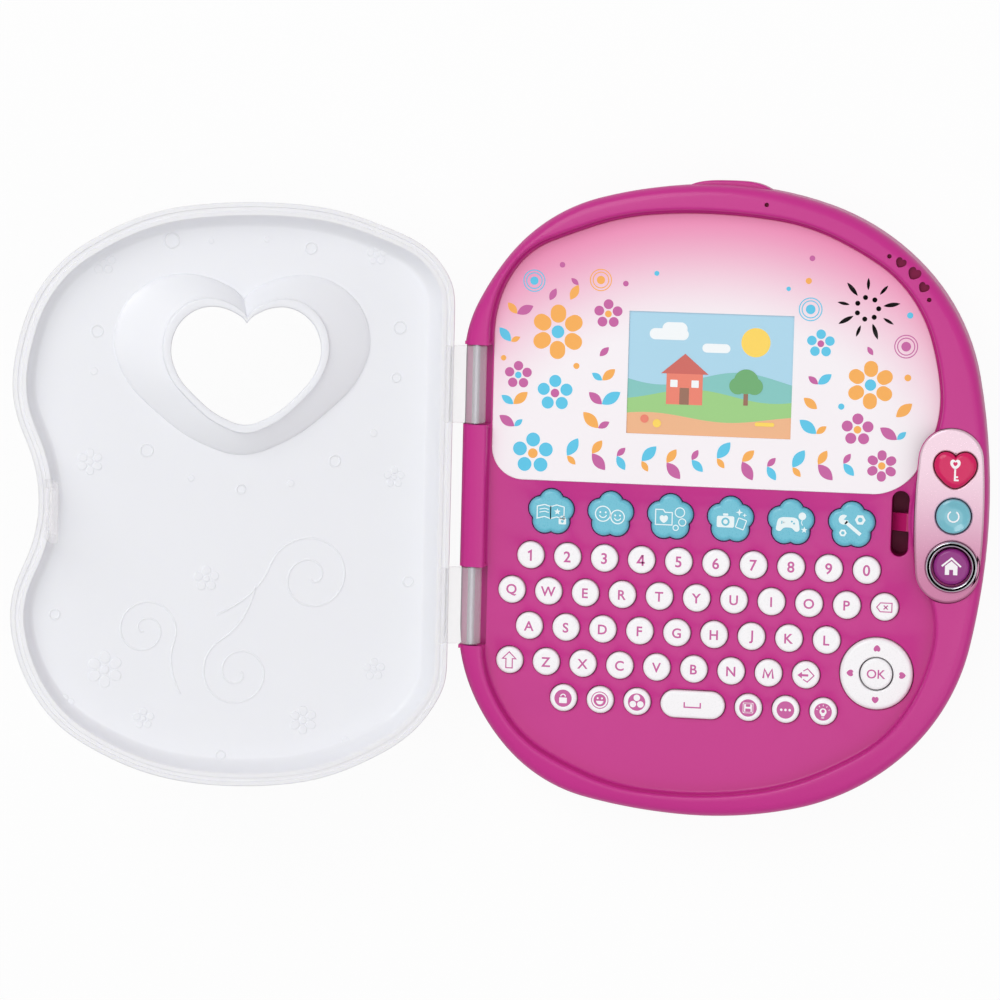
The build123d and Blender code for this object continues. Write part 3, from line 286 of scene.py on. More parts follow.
# ---- pieces -----------------------------------------------------------------------------------
class Piece:
    """Collects the faces of one piece, in millimetres of the drawing."""

    def __init__(self):
        self.points, self.faces, self.paints = [], [], []

    def add(self, points):
        start = len(self.points)
        self.points += [tuple(p) for p in points]
        return start

    def strip(self, low, high, paint=0):
        """Band between two closed loops of as many points."""
        n, a, b = len(low), self.add(low), self.add(high)
        for i in range(n):
            j = (i + 1) % n
            self.faces.append((a + i, a + j, b + j, b + i))
            self.paints.append(paint)

    def rings(self, rings, paint=0):
        for low, high in zip(rings, rings[1:]):
            self.strip(low, high, paint)

    def fill(self, loops, z, paint=0, extra=None):
        """Surface within the first loop and outside the others, at a height or over a height field."""
        flat = [np.asarray(loop, float) for loop in loops]
        points = np.vstack(flat + ([extra] if extra is not None and len(extra) else []))
        edges, start = [], 0
        for loop in flat:
            edges += [(start + i, start + (i + 1) % len(loop)) for i in range(len(loop))]
            start += len(loop)
        found, _, triangles, *_ = delaunay_2d_cdt([Vector(p) for p in points], edges, [], 0, 1e-6)
        found = np.array([tuple(p) for p in found])
        triangles = np.array([t for t in triangles if len(t) == 3])
        triangles = triangles[inside(found[triangles].mean(1), flat)]
        height = z(found) if callable(z) else np.full(len(found), z)
        first = self.add(np.column_stack([found, height]))
        self.faces += [tuple(first + i for i in t) for t in triangles]
        self.paints += [paint] * len(triangles)

    def prism(self, outline, bottom, top, edge=0.0, holes=(), hole_edge=0.0, paint=0, steps=4, foot=0.0):
        """Solid between two heights, its upper edges rounded."""
        tops, bottoms = [], []
        for loop, size, way in [(outline, edge, 1)] + [(hole, hole_edge, -1) for hole in holes]:
            rings = [at(inset(loop, way * foot), bottom)] if foot else [at(loop, bottom)]
            rings += [at(loop, bottom + foot)] if foot else []
            for i in range(steps + 1 if size else 1):
                a = pi / 2 * i / steps
                rings.append(at(inset(loop, way * size * (1 - cos(a))), top - size * (1 - sin(a))))
            if size:
                rings.append(at(inset(loop, way * size * 1.5), top))
            self.rings(rings, paint)
            tops.append(rings[-1][:, :2])
            bottoms.append(rings[0][:, :2])
        self.fill(tops, top, paint)
        self.fill(bottoms, bottom, paint)

    def pillow(self, outline, centre, reach, bottom, top, edge, steps=8):
        """Solid whose upper edge is rounded towards its centre."""
        centre = np.array(centre, float)
        rings = [at(outline, bottom)]
        for i in range(steps + 1):
            a = pi / 2 * i / steps
            scale = 1 - edge * (1 - cos(a)) / reach
            rings.append(at(centre + (outline - centre) * scale, top - edge * (1 - sin(a)) * 0.7))
        self.rings(rings)
        self.fill([rings[-1][:, :2]], top)
        self.fill([outline], bottom)

    def print(self, shapes, z, paint, thick=0.04):
        """Thin printed or inlaid shapes, each (outline, holes), on a surface at a height."""
        for outline, holes in shapes:
            loops = [outline, *holes]
            for loop in loops:
                height = z(loop) if callable(z) else z
                self.strip(at(loop, height - 0.02), at(loop, height + thick), paint)
            for side in (-0.02, thick):
                self.fill(loops, (lambda p, s=side: z(p) + s) if callable(z) else z + side, paint)

    def text(self, words, size, centre, z, paint, bold=0.0, thick=0.04):
        """Generic lettering in the plain built-in font, centred on a place."""
        curve = bpy.data.curves.new("lettering", "FONT")
        curve.body, curve.size, curve.extrude, curve.offset = words, size / CAP_HEIGHT, thick / 2, bold
        curve.resolution_u = 4
        written = bpy.data.objects.new("lettering", curve)
        mesh = bpy.data.meshes.new_from_object(written)
        points = np.array([v.co for v in mesh.vertices])
        middle = (points.min(0) + points.max(0)) / 2
        start = self.add(points - middle + (*centre, z + thick / 2 - 0.01))
        self.faces += [tuple(start + i for i in face.vertices) for face in mesh.polygons]
        self.paints += [paint] * len(mesh.polygons)
        bpy.data.objects.remove(written)
        bpy.data.meshes.remove(mesh)
        bpy.data.curves.remove(curve)

    def make(self, name, body, materials, replaces=(), place=AT_REST, sharp=32, cutters=()):
        """The finished object, in the row frame and riding on its body."""
        mesh = bpy.data.meshes.new(name)
        mesh.from_pydata(self.points, [], self.faces)
        mesh.polygons.foreach_set("material_index", self.paints)
        work = bmesh.new()
        work.from_mesh(mesh)
        bmesh.ops.remove_doubles(work, verts=work.verts, dist=0.0005)
        bmesh.ops.dissolve_degenerate(work, edges=work.edges, dist=0.0002)
        bmesh.ops.recalc_face_normals(work, faces=work.faces)
        work.to_mesh(mesh)
        work.free()
        obj = bpy.data.objects.new(name, mesh)
        bpy.context.scene.collection.objects.link(obj)
        for material in materials:
            mesh.materials.append(material)
        if cutters:
            cut_away(obj, cutters)
            mesh = obj.data
        mesh.transform(place)
        mesh.polygons.foreach_set("use_smooth", [True] * len(mesh.polygons))
        mesh.set_sharp_from_angle(angle=radians(sharp))
        mesh.update()
        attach(obj, body)
        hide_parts(*replaces)
        return obj


def at(loop, z):
    """The loop at a height."""
    return np.column_stack([loop, np.broadcast_to(z, len(loop))])


def cut_away(obj, cutters):
    """Takes the cutter pieces away from an object, both in millimetres."""
    for piece in cutters:
        mesh = bpy.data.meshes.new("cutter")
        mesh.from_pydata(piece.points, [], piece.faces)
        work = bmesh.new()
        work.from_mesh(mesh)
        bmesh.ops.remove_doubles(work, verts=work.verts, dist=0.0005)
        bmesh.ops.recalc_face_normals(work, faces=work.faces)
        work.to_mesh(mesh)
        work.free()
        mesh.materials.append(obj.data.materials[0])
        cutter = bpy.data.objects.new("cutter", mesh)
        bpy.context.scene.collection.objects.link(cutter)
        cut = obj.modifiers.new("cut", "BOOLEAN")
        cut.operation, cut.solver, cut.object = "DIFFERENCE", "EXACT", cutter
        bpy.context.view_layer.update()
        result = bpy.data.meshes.new_from_object(obj.evaluated_get(bpy.context.evaluated_depsgraph_get()))
        obj.modifiers.clear()
        obj.data = result
        bpy.data.objects.remove(cutter)


def solid(outline, bottom, top):
    """A plain prism to cut with."""
    piece = Piece()
    piece.prism(outline, bottom, top)
    return piece


# ---- materials --------------------------------------------------------------------------------
def linear(rgb):
    """Colour of 0 to 255 as it shows, for a shader."""
    return tuple((c / 255 / 12.92 if c <= 10 else ((c / 255 + 0.055) / 1.055) ** 2.4) for c in rgb) + (1.0,)


def material(name, rgb, roughness=0.35, second=None, span=(-0.1, 0.1), centre=None, variation=0.04, grain=2200.0,
             bump=0.012, coat=0.0, metallic=0.0, subsurface=0.0, alpha=1.0, specular=0.5):
    """Moulded or printed finish: a colour, or two that blend up the page or away from a place, as a print or as
    a painted sheen, with fine mottling of the colour and of the gloss and a faint grain."""
    made = bpy.data.materials.new(name)
    made.use_nodes = True
    nodes, links = made.node_tree.nodes, made.node_tree.links
    shader = nodes["Principled BSDF"]
    place = nodes.new("ShaderNodeTexCoord").outputs["Object"]
    broad, fine = nodes.new("ShaderNodeTexNoise"), nodes.new("ShaderNodeTexNoise")
    broad.inputs["Scale"].default_value, fine.inputs["Scale"].default_value = 28.0, grain
    links.new(place, broad.inputs["Vector"])
    links.new(place, fine.inputs["Vector"])
    base = nodes.new("ShaderNodeMix")
    base.data_type = "RGBA"
    base.inputs["A"].default_value = linear(rgb)
    base.inputs["B"].default_value = linear(second or rgb)
    base.inputs["Factor"].default_value = 0.0
    if second:
        split, ramp = nodes.new("ShaderNodeSeparateXYZ"), nodes.new("ShaderNodeMapRange")
        ramp.interpolation_type = "SMOOTHSTEP"
        ramp.inputs["From Min"].default_value, ramp.inputs["From Max"].default_value = span
        links.new(place, split.inputs[0])
        links.new(split.outputs["Y"], ramp.inputs["Value"])
        if centre:
            narrow, far = nodes.new("ShaderNodeVectorMath"), nodes.new("ShaderNodeVectorMath")
            narrow.operation, narrow.inputs[1].default_value = "MULTIPLY", (0.8, 1, 1)
            far.operation, far.inputs[1].default_value = "DISTANCE", (centre[0] * 0.8, centre[1], centre[2])
            links.new(place, narrow.inputs[0])
            links.new(narrow.outputs[0], far.inputs[0])
            links.new(far.outputs["Value"], ramp.inputs["Value"])
        links.new(ramp.outputs["Result"], base.inputs["Factor"])
    mottle, shade = nodes.new("ShaderNodeMapRange"), nodes.new("ShaderNodeMix")
    mottle.inputs["To Min"].default_value, mottle.inputs["To Max"].default_value = 1 - variation, 1 + variation
    links.new(broad.outputs["Fac"], mottle.inputs["Value"])
    shade.data_type, shade.blend_type = "RGBA", "MULTIPLY"
    shade.inputs["Factor"].default_value = 1.0
    links.new(base.outputs["Result"], shade.inputs["A"])
    links.new(mottle.outputs["Result"], shade.inputs["B"])
    links.new(shade.outputs["Result"], shader.inputs["Base Color"])
    gloss = nodes.new("ShaderNodeMapRange")
    gloss.inputs["To Min"].default_value, gloss.inputs["To Max"].default_value = roughness * 0.85, roughness * 1.15
    links.new(fine.outputs["Fac"], gloss.inputs["Value"])
    links.new(gloss.outputs["Result"], shader.inputs["Roughness"])
    relief = nodes.new("ShaderNodeBump")
    relief.inputs["Strength"].default_value, relief.inputs["Distance"].default_value = bump, 0.0002
    links.new(fine.outputs["Fac"], relief.inputs["Height"])
    links.new(relief.outputs["Normal"], shader.inputs["Normal"])
    shader.inputs["Coat Weight"].default_value = coat
    shader.inputs["Coat Roughness"].default_value = 0.06
    shader.inputs["Metallic"].default_value = metallic
    shader.inputs["Subsurface Weight"].default_value = subsurface
    shader.inputs["Subsurface Radius"].default_value = (0.003, 0.003, 0.0035)
    shader.inputs["Alpha"].default_value = alpha
    shader.inputs["Specular IOR Level"].default_value = specular
    return made


pink = material("pink_plastic", (200, 45, 140), 0.30, coat=0.12, variation=0.03, specular=0.32)
# painted shade: a deep pink for walls and floors of the case's slot, groove and holes, standing for the shade inside
# them
pink_painted_shade = material("pink_painted_shade_walls", (126, 6, 66), 0.45, specular=0.2)
# painted light: the walls of the key holes are a lighter pink than the case, to soften the shade in the gaps round the
# keys
pink_hole_painted_light = material("pink_key_holes_painted_light", (226, 62, 150), 0.45, specular=0.2)
# painted shade: a dark navy for the walls of the flower key holes, standing for the shade in the gaps round those keys
navy = material("navy_gap_shade", (22, 40, 92), 0.5, specular=0.2)
lid_white = material("lid_plastic", (243, 244, 249), 0.34, coat=0.15, subsurface=0.12, variation=0.012)
lid_edge = material("lid_plastic_edge", (244, 244, 248), 0.3, coat=0.2, subsurface=0.3, variation=0.01)
lid_clear = material("clear_plastic", (255, 253, 255), 0.06, alpha=0.26, variation=0.005, bump=0.005)
key_white = material("key_plastic", (251, 249, 251), 0.28, coat=0.3, variation=0.01)
legend = material("legend_print", (203, 92, 160), 0.4)
flower_blue = material("flower_plastic", (104, 192, 214), 0.28, coat=0.3)
icon_white = material("icon_print", (238, 249, 251), 0.4, variation=0.01)
white_print = material("white_print", (250, 246, 249), 0.35, variation=0.01)
faceplate_print = material("faceplate_print", (250, 244, 248), 0.30, second=(240, 128, 180), span=(0.058, 0.106),
                           centre=AT_REST @ Vector((84, 5, FACEPLATE_TOP)), coat=0.2, variation=0.012)
orange = material("orange_print", (250, 172, 66), 0.30, coat=0.35, variation=0.02)
blue = material("blue_print", (74, 198, 234), 0.30, coat=0.35, variation=0.02)
magenta = material("magenta_print", (198, 82, 158), 0.30, coat=0.35, variation=0.02)
# painted sheen: the plate's colour blends from pink to near white up the plate, standing for its reflection of the
# light
panel_sheen_metal = material("panel_lacquer_painted_sheen", (190, 110, 150), 0.26, second=(232, 202, 216), span=(-0.03, 0.022),
                       metallic=0.35, coat=0.6, grain=2600.0, variation=0.03)
chrome = material("chrome", (228, 226, 232), 0.17, metallic=1.0, bump=0.01, variation=0.01)
steel = material("steel", (176, 174, 184), 0.25, metallic=1.0)
heart_red = material("heart_button", (214, 10, 92), 0.2, coat=0.25, variation=0.03, specular=0.3)
power_blue = material("power_button", (118, 190, 206), 0.18, coat=0.7)
home_purple = material("home_button", (146, 40, 130), 0.2, coat=0.25, specular=0.3)
black = material("dark_plastic", (14, 12, 14), 0.5)
bolt_pink = material("bolt_plastic", (206, 26, 116), 0.35)
board_green = material("solder_mask", (24, 92, 44), 0.4)
rubber = material("silicone", (226, 186, 208), 0.6)
cell_wrap = material("cell_wrap", (60, 66, 74), 0.3)
screen_off = material("screen_glass", (40, 44, 50), 0.08, coat=0.5)
screen_tones = [material(f"screen_{i}", rgb, 0.25, coat=0.6, variation=0.02, grain=2400.0) for i, rgb in enumerate((
    (168, 214, 236), (255, 214, 70), (246, 250, 252), (120, 196, 190), (150, 206, 120), (240, 178, 128),
    (238, 118, 92), (206, 84, 70), (146, 92, 64), (92, 168, 96)))]


# ---- case -------------------------------------------------------------------------------------
case_outline = page_outline(CASE_CURVE)
recess_outline = page_outline(RECESS_CURVE)
panel_points = [(0, 30.9), (-12.1, 0), (0, -30.9), (12.1, 0), (0, 30.9)]
panel_ways = [(-1, 0), (0, -1), (1, 0), (0, 1), (-1, 0)]
panel_outline = np.vstack([arc_chain(panel_points[i:i + 2], panel_ways[i], panel_ways[i + 1]) for i in range(4)])
panel_outline = panel_outline + PANEL_AT
heart_outline = heart(*HEART_SIZE, HEART_AT, 0.5)
rim_hearts = [turned(heart(s, s * 0.9, step=0.4), -30) + (x, y) for x, y, s in RIM_HEARTS]

numbers = {str((i + 1) % 10): (21.2 + i * KEY_PITCH, FIRST_ROW) for i in range(10)}
letters = {c: (start + i * KEY_PITCH, FIRST_ROW - row * ROW_PITCH)
           for word, start, row in (("qwertyuiop", 14.6, 1), ("asdfghjkl", 21.3, 2),
                                    ("zxcvbnm", 14.4 + KEY_PITCH, 3)) for i, c in enumerate(word)}
functions = {"back": (14.6 + 10 * KEY_PITCH, FIRST_ROW - ROW_PITCH),
             "shift": (14.4, FIRST_ROW - 3 * ROW_PITCH),
             "enter": (14.4 + 8 * KEY_PITCH, FIRST_ROW - 3 * ROW_PITCH)}
functions |= {name: (x + i * KEY_PITCH, SPACE_AT[1])
              for x, names in ((34.5, ("lock", "smile", "signs")), (101.6, ("save", "more", "light")))
              for i, name in enumerate(names)}
flowers = [(FLOWER_FIRST[0] + i * FLOWER_PITCH, FLOWER_FIRST[1]) for i in range(6)]
round_keys = [*numbers.values(), *letters.values(), *functions.values()]


def rim_height(points):
    """Height of the rim's top: rounded along both edges and a little crowned between them."""
    outer, inner = distance_to(points, case_outline), distance_to(points, recess_outline)
    round_outer, round_inner = 3.4, 1.3
    drop = round_outer - np.sqrt(np.maximum(0, round_outer ** 2 - np.maximum(0, round_outer - outer) ** 2))
    drop += round_inner - np.sqrt(np.maximum(0, round_inner ** 2 - np.maximum(0, round_inner - inner) ** 2))
    slope = 1.3 * (inner / np.maximum(inner + outer, 0.01)) ** 2
    return RIM_TOP - drop - slope


def front_case():
    """Rim, recess wall and deck as one shell with all its openings."""
    piece = Piece()
    pocket = inset(panel_outline, -0.25)
    rim_holes = [circle(0.8, MIC_AT, 20)] + [circle(0.8, dot, 20) for dot in RIM_DOTS] + rim_hearts + [pocket]
    support = [inset(case_outline, d) for d in (0.25, 0.6, 1.1, 1.7, 2.4, 3.4, 4.2)]
    support += [inset(recess_outline, -d) for d in (0.12, 0.35, 0.7, 1.0, 1.3, 2.0)]
    support = np.vstack(support)
    hole_points = np.vstack(rim_holes)
    on_rim = inside(support, [case_outline, recess_outline] + rim_holes)
    clear = np.array([np.hypot(*(hole_points - p).T).min() > 0.5 for p in support])
    piece.fill([case_outline, recess_outline, *rim_holes], rim_height, extra=support[on_rim & clear])
    piece.strip(at(case_outline, PART_LINE + 0.4), at(case_outline, rim_height(case_outline)))
    piece.strip(at(inset(case_outline, 0.4), PART_LINE), at(case_outline, PART_LINE + 0.4))
    foot = [at(inset(recess_outline, 1.2 * (1 - sin(pi / 2 * i / 4))), DECK_TOP + 1.2 * (1 - cos(pi / 2 * i / 4)))
            for i in range(5)]
    piece.rings(foot + [at(recess_outline, rim_height(recess_outline))])
    # the walls of the round, space and four-way key holes take material 3, the painted light
    deck_holes = [(circle(KEY_RADIUS + KEY_GAP, place, 40), 0.25, 3) for place in round_keys]
    # the walls of the flower key holes take material 2, the painted shade
    deck_holes += [(inset(petals(5, PETAL_CIRCLE, PETAL_RADIUS, place), -KEY_GAP), 0.25, 2) for place in flowers]
    deck_holes += [(inset(pill(*SPACE_SIZE, SPACE_AT), -KEY_GAP), 0.25, 3),
                   (circle(DPAD_RADIUS + KEY_GAP, DPAD_AT, 72), 0.25, 3),
                   (box(60.8, 45.8, 0.0, SCREEN_AT), 0.0, 0), (circle(13.5, SPEAKER_AT, 32), 0.0, 0)]
    # the lock slot's walls and floor take material 1, the painted shade
    slot = (pill(*SLOT_SIZE, SLOT_AT), 0.5, 1)
    tops = []
    for loop, edge, paint in deck_holes + [slot]:
        top = at(inset(loop, -edge), DECK_TOP)
        bottom = at(loop, SLOT_FLOOR if loop is slot[0] else DECK_UNDER)
        rings = [bottom, at(loop, DECK_TOP - edge), at(inset(loop, -edge * 0.3), DECK_TOP - edge * 0.3), top] if edge \
            else [bottom, top]
        piece.rings(rings[:2], paint)
        piece.rings(rings[1:])
        tops.append(top[:, :2])
    piece.fill([foot[0][:, :2], *tops], DECK_TOP)
    piece.fill([slot[0]], SLOT_FLOOR, 1)
    tray, inner = inset(recess_outline, -2.0), inset(case_outline, WALL)
    well = inset(slot[0], -1.4)
    piece.fill([tray, *[loop for loop, _, _ in deck_holes], well], DECK_UNDER)
    piece.strip(at(well, DECK_UNDER), at(well, SLOT_FLOOR - 1.4))
    piece.fill([well], SLOT_FLOOR - 1.4)
    piece.strip(at(tray, DECK_UNDER), at(tray, RIM_TOP - WALL))
    floor_z = PANEL_BOTTOM
    buttons = [inset(heart_outline, -BUTTON_GAP), circle(POWER_RADIUS + BUTTON_GAP, POWER_AT),
               circle(HOME_RADIUS + BUTTON_GAP, HOME_AT)]
    # the pocket's wall round the plate takes material 1, the painted shade of the groove
    piece.strip(at(pocket, floor_z), at(pocket, rim_height(pocket)), 1)
    piece.fill([pocket, *buttons], floor_z)
    for loop in buttons:
        piece.strip(at(loop, RIM_TOP - WALL), at(loop, floor_z))
    for loop in rim_holes[:-1]:
        piece.strip(at(loop, RIM_TOP - WALL), at(loop, rim_height(loop)))
    piece.fill([inner, tray, *buttons, *rim_holes[:-1]], RIM_TOP - WALL)
    piece.strip(at(inner, PART_LINE), at(inner, RIM_TOP - WALL))
    piece.fill([inset(case_outline, 0.4), inner], PART_LINE)
    notches = [solid(box(22.0, TAB_LENGTH + 0.8, 0.0, (RECESS_X + 0.6 - 11.0, y)), HINGE_Z - 4.4, 40)
               for y in TAB_CENTRES]
    piece.make("front_case_shell", "case", [pink, pink_painted_shade, navy, pink_hole_painted_light], ["front_case"], cutters=notches)


def hinge_saddles():
    """Floor and end walls of the notches in which the lid's barrels lie."""
    piece = Piece()
    for y in TAB_CENTRES:
        half = TAB_LENGTH / 2 + 0.4
        piece.prism(box(9.2, 2 * half + 2.4, 0.0, (0.5, y)), NOTCH_FLOOR - 1.5, NOTCH_FLOOR, 0.0)
        for side in (-1, 1):
            piece.prism(box(9.2, 1.2, 0.0, (0.5, y + side * (half + 0.65))), NOTCH_FLOOR, RIM_TOP - WALL, 0.0)
    piece.make("hinge_saddles", "case", [pink])
    # painted shade: dark floors just under the rim's hearts, dots and microphone hole, standing for the shaded inside
    # seen through them
    piece = Piece()
    for loop in rim_hearts + [circle(0.8, dot, 20) for dot in (MIC_AT, *RIM_DOTS)]:
        piece.prism(inset(loop, 0.02), RIM_TOP - WALL - 0.3, RIM_TOP - 1.9)
    piece.make("rim_hole_shade_floors", "case", [pink_painted_shade])


def camera_pod():
    """Low swelling on the back edge, with the camera's opening."""
    across = np.linspace(-1, 1, 41)
    hump = 117.5 - 2.6 * np.abs(across) ** 3.5
    outline = np.vstack([np.stack([88.5 + 15.0 * across, hump], 1)[::-1], [(73.5, 112.5), (103.5, 112.5)]])
    piece = Piece()
    piece.prism(outline, 16.6, 25.4, 0.9, steps=5, foot=0.9)
    opening = solid(circle(LENS_RADIUS + 0.2, (88.5, 21.0), 32), 113.0, 119.0)
    opening.points = [(x, z, y) for x, y, z in opening.points]
    piece.make("camera_pod", "case", [pink], cutters=[opening])


# ---- faceplate --------------------------------------------------------------------------------
def grille_loops():
    """Sunburst of slots and dots over the loudspeaker."""
    loops = []
    for i in range(9):
        length = 6.0 if i % 2 else 4.4
        leaf = arc_chain([(-length / 2, 0), (length / 2, 0)], (1, -0.55), (1, 0.55), 0.5)
        leaf = np.vstack([leaf, arc_chain([(length / 2, 0), (-length / 2, 0)], (-1, 0.55), (-1, -0.55), 0.5)])
        loops.append(turned(leaf + (8.6, 0), 360 * i / 9 + 90) + SPEAKER_AT)
    return loops + [circle(0.9, turned([(3.9, 0)], 360 * i / 7)[0] + SPEAKER_AT, 20) for i in range(7)]


def faceplate_outline():
    """Upper part of the recess with its two lower corners rounded."""
    loop = inset(recess_outline, 1.2)
    flipped = loop[:, ::-1] * (1, -1)
    upper = right_of(flipped, FACEPLATE_BOTTOM_Y)[:, ::-1] * (-1, 1)
    base = upper[np.abs(upper[:, 1] - FACEPLATE_BOTTOM_Y) < 1e-6]
    for x in (base[:, 0].min(), base[:, 0].max()):
        upper = rounded_corner(upper, (x, FACEPLATE_BOTTOM_Y), FACEPLATE_CORNER)
    return upper


def teardrop(length, width, bend, place, turn):
    """Leaf with a round head and a pointed, bent tail."""
    t = np.linspace(0, 1, 22)
    spine = np.stack([length * t, bend * length * np.sin(t * pi * 0.55)], 1)
    step = np.gradient(spine, axis=0)
    normal = np.stack([-step[:, 1], step[:, 0]], 1) / np.hypot(*step.T)[:, None]
    half = (width / 2 * np.sqrt(np.maximum(0, 1 - ((t - 0.72) / 0.28) ** 2)) * (t > 0.72)
            + width / 2 * np.sin(np.minimum(t / 0.72, 1) * pi / 2) ** 1.6 * (t <= 0.72))[:, None]
    loop = np.vstack([spine - normal * half, (spine + normal * half)[-2:0:-1]])
    return turned(loop, turn) + place


def sprig(place, turn, size, flip=1):
    """Leaf sprig: pairs of pointed leaves along a bent stem, as a list of (colour, outline)."""
    found = []
    for i, (along, spread, length) in enumerate(((0.0, 0, 1.0), (0.18, 48, 0.74), (0.18, -48, 0.74),
                                                 (0.0, 92, 0.5), (0.0, -92, 0.5))):
        heading = turn + flip * spread
        start = turned([(size * (0.35 + along), 0)], heading)[0] + place
        found.append((i, teardrop(size * length, size * 0.34 * length ** 0.5, 0.16 * flip * (1 if i % 2 else -1),
                                  start, heading)))
    return found


# ---- pictograms, in a square of -1 to 1 ---------------------------------------------------------
def shifted(shapes, scale, place, turn=0.0):
    move = lambda loop: turned(loop, turn) * scale + place
    return [(move(outline), [move(hole) for hole in holes]) for outline, holes in shapes]


def plain(*loops):
    return [(np.asarray(loop, float), []) for loop in loops]


def star(points=5, inner=0.45, turn=90):
    angle = np.radians(turn + np.arange(2 * points) * 180 / points)
    reach = np.where(np.arange(2 * points) % 2, inner, 1.0)[:, None]
    return np.stack([np.cos(angle), np.sin(angle)], 1) * reach


def icon_back():
    body = [(-0.95, 0), (-0.5, -0.55), (0.9, -0.55), (0.9, 0.55), (-0.5, 0.55)]
    return [ribbon(body, 0.13, True), ribbon([(-0.1, -0.25), (0.4, 0.25)], 0.14),
            (turned(ribbon([(-0.35, 0), (0.35, 0)], 0.14)[0], -45) + (0.15, 0), [])]


def icon_shift():
    arrow = [(0, 1), (-0.8, 0.2), (-0.38, 0.2), (-0.38, -0.9), (0.38, -0.9), (0.38, 0.2), (0.8, 0.2)]
    return [ribbon(arrow, 0.13, True)]


def icon_enter():
    arrow = [(-1, 0), (-0.45, -0.4), (-0.45, -0.13), (0.3, -0.13), (0.3, 0.13), (-0.45, 0.13), (-0.45, 0.4)]
    return plain(arrow) + [ribbon([(-0.3, 0.5), (0.2, 0.8), (0.98, 0), (0.2, -0.8), (-0.3, -0.5)], 0.13)]


def icon_lock():
    shackle = ribbon(arc(0.27, 0, 180, (0, 0.2), 12), 0.13)[0]
    return [(circle(1.0), [box(0.9, 0.66, 0.08, (0, -0.24)), shackle])]


def icon_smile():
    mouth = np.vstack([arc(0.42, 180, 360, (0, -0.08), 14)])
    face = (circle(0.72), [circle(0.12, (-0.25, 0.22), 14), circle(0.12, (0.25, 0.22), 14), mouth])
    return [ribbon(circle(0.95), 0.1, True), face]


def icon_signs():
    return [(circle(1.0), [circle(0.38, turned([(0.5, 0)], a)[0], 24) for a in (90, 210, 330)])]


def icon_save():
    return [(circle(1.0), [box(1.2, 1.2, 0.12)]), ribbon(box(0.98, 0.98, 0.08), 0.09, True)] + plain(
        box(0.5, 0.28, 0.04, (0, 0.28)), box(0.6, 0.34, 0.04, (0, -0.25)))


def icon_more():
    return [(circle(1.0), [circle(0.15, (x, 0), 16) for x in (-0.48, 0, 0.48)])]


def icon_light():
    bulb = np.vstack([arc(0.4, -50, 230, (0, 0.02), 22), [(-0.16, -0.5), (0.16, -0.5)]])
    rays = [turned(pill(0.08, 0.2) + (0, 0.74), a) for a in (-70, -35, 0, 35, 70)]
    return [(circle(1.0), [bulb, box(0.32, 0.12, 0.05, (0, -0.68)), *rays])] + plain(circle(0.2, (0, 0.08), 20))


ICONS = {"back": (icon_back, 2.9), "shift": (icon_shift, 3.08), "enter": (icon_enter, 3.0), "lock": (icon_lock, 3.15),
         "smile": (icon_smile, 3.15), "signs": (icon_signs, 3.15), "save": (icon_save, 3.15),
         "more": (icon_more, 3.15), "light": (icon_light, 3.15)}


def icon_book():
    """Open book with a card and a small padlock."""
    pages = [[(-3.6, -1.6), (-3.6, 1.6), (-1.6, 2.1), (0, 1.6), (0, -1.6), (-1.6, -1.1)]]
    pages.append([(-x, y) for x, y in reversed(pages[0])])
    lines = [ribbon(page, 0.28, True) for page in pages]
    lines += [ribbon([(-3.0, y), (-1.6, y + 0.3), (-0.5, y)], 0.22) for y in (0.8, 0.0)]
    lock = [(box(2.0, 1.6, 0.3, (3.2, -2.2)), [heart(0.8, 0.8, (3.2, -2.25), 0.3)]),
            ribbon(arc(0.65, 0, 180, (3.2, -1.5), 12), 0.3)]
    return lines + plain(*[star() * 0.9 + (1.8, 0.3)]) + lock


def icon_faces():
    """Two smiling faces."""
    faces = []
    for x, y, size in ((-1.9, 0.3, 2.0), (2.0, -0.4, 1.8)):
        faces.append(ribbon(circle(size, (x, y), 32), 0.3, True))
        faces += plain(circle(0.26, (x - size * 0.36, y + 0.4), 12), circle(0.26, (x + size * 0.36, y + 0.4), 12))
        faces.append(ribbon(arc(size * 0.5, 200, 340, (x, y), 12), 0.28))
    return faces


def icon_folder():
    """Folder with a heart and three bubbles."""
    folder = [(-3.8, -1.9), (0.6, -1.9), (0.6, 1.4), (-1.3, 1.4), (-1.8, 2.1), (-3.8, 2.1)]
    bubbles = [(x, y, r) for x, y, r in ((2.6, 1.5, 1.25), (3.3, -1.1, 0.95), (1.6, -2.6, 0.7))]
    return [ribbon(folder, 0.28, True), (heart(2.2, 2.0, (-1.6, -0.4), 0.3), [])] + [
        ribbon(circle(r, (x, y), 24), 0.26, True) for x, y, r in bubbles]


def icon_camera():
    """Camera, photo and sparkles."""
    body = (box(4.6, 3.0, 0.5, (-1.2, -0.4)), [circle(1.1, (-1.2, -0.4), 24)])
    return [body, (circle(0.6, (-1.2, -0.4), 20), [])] + plain(box(1.4, 0.6, 0.2, (-1.2, 1.5))) + [
        ribbon(turned(box(2.2, 2.6, 0.2), -18) + (2.9, -0.8), 0.26, True)] + plain(
        star(4, 0.35) * 0.95 + (2.4, 2.2), star(4, 0.35) * 0.6 + (3.8, 1.5))


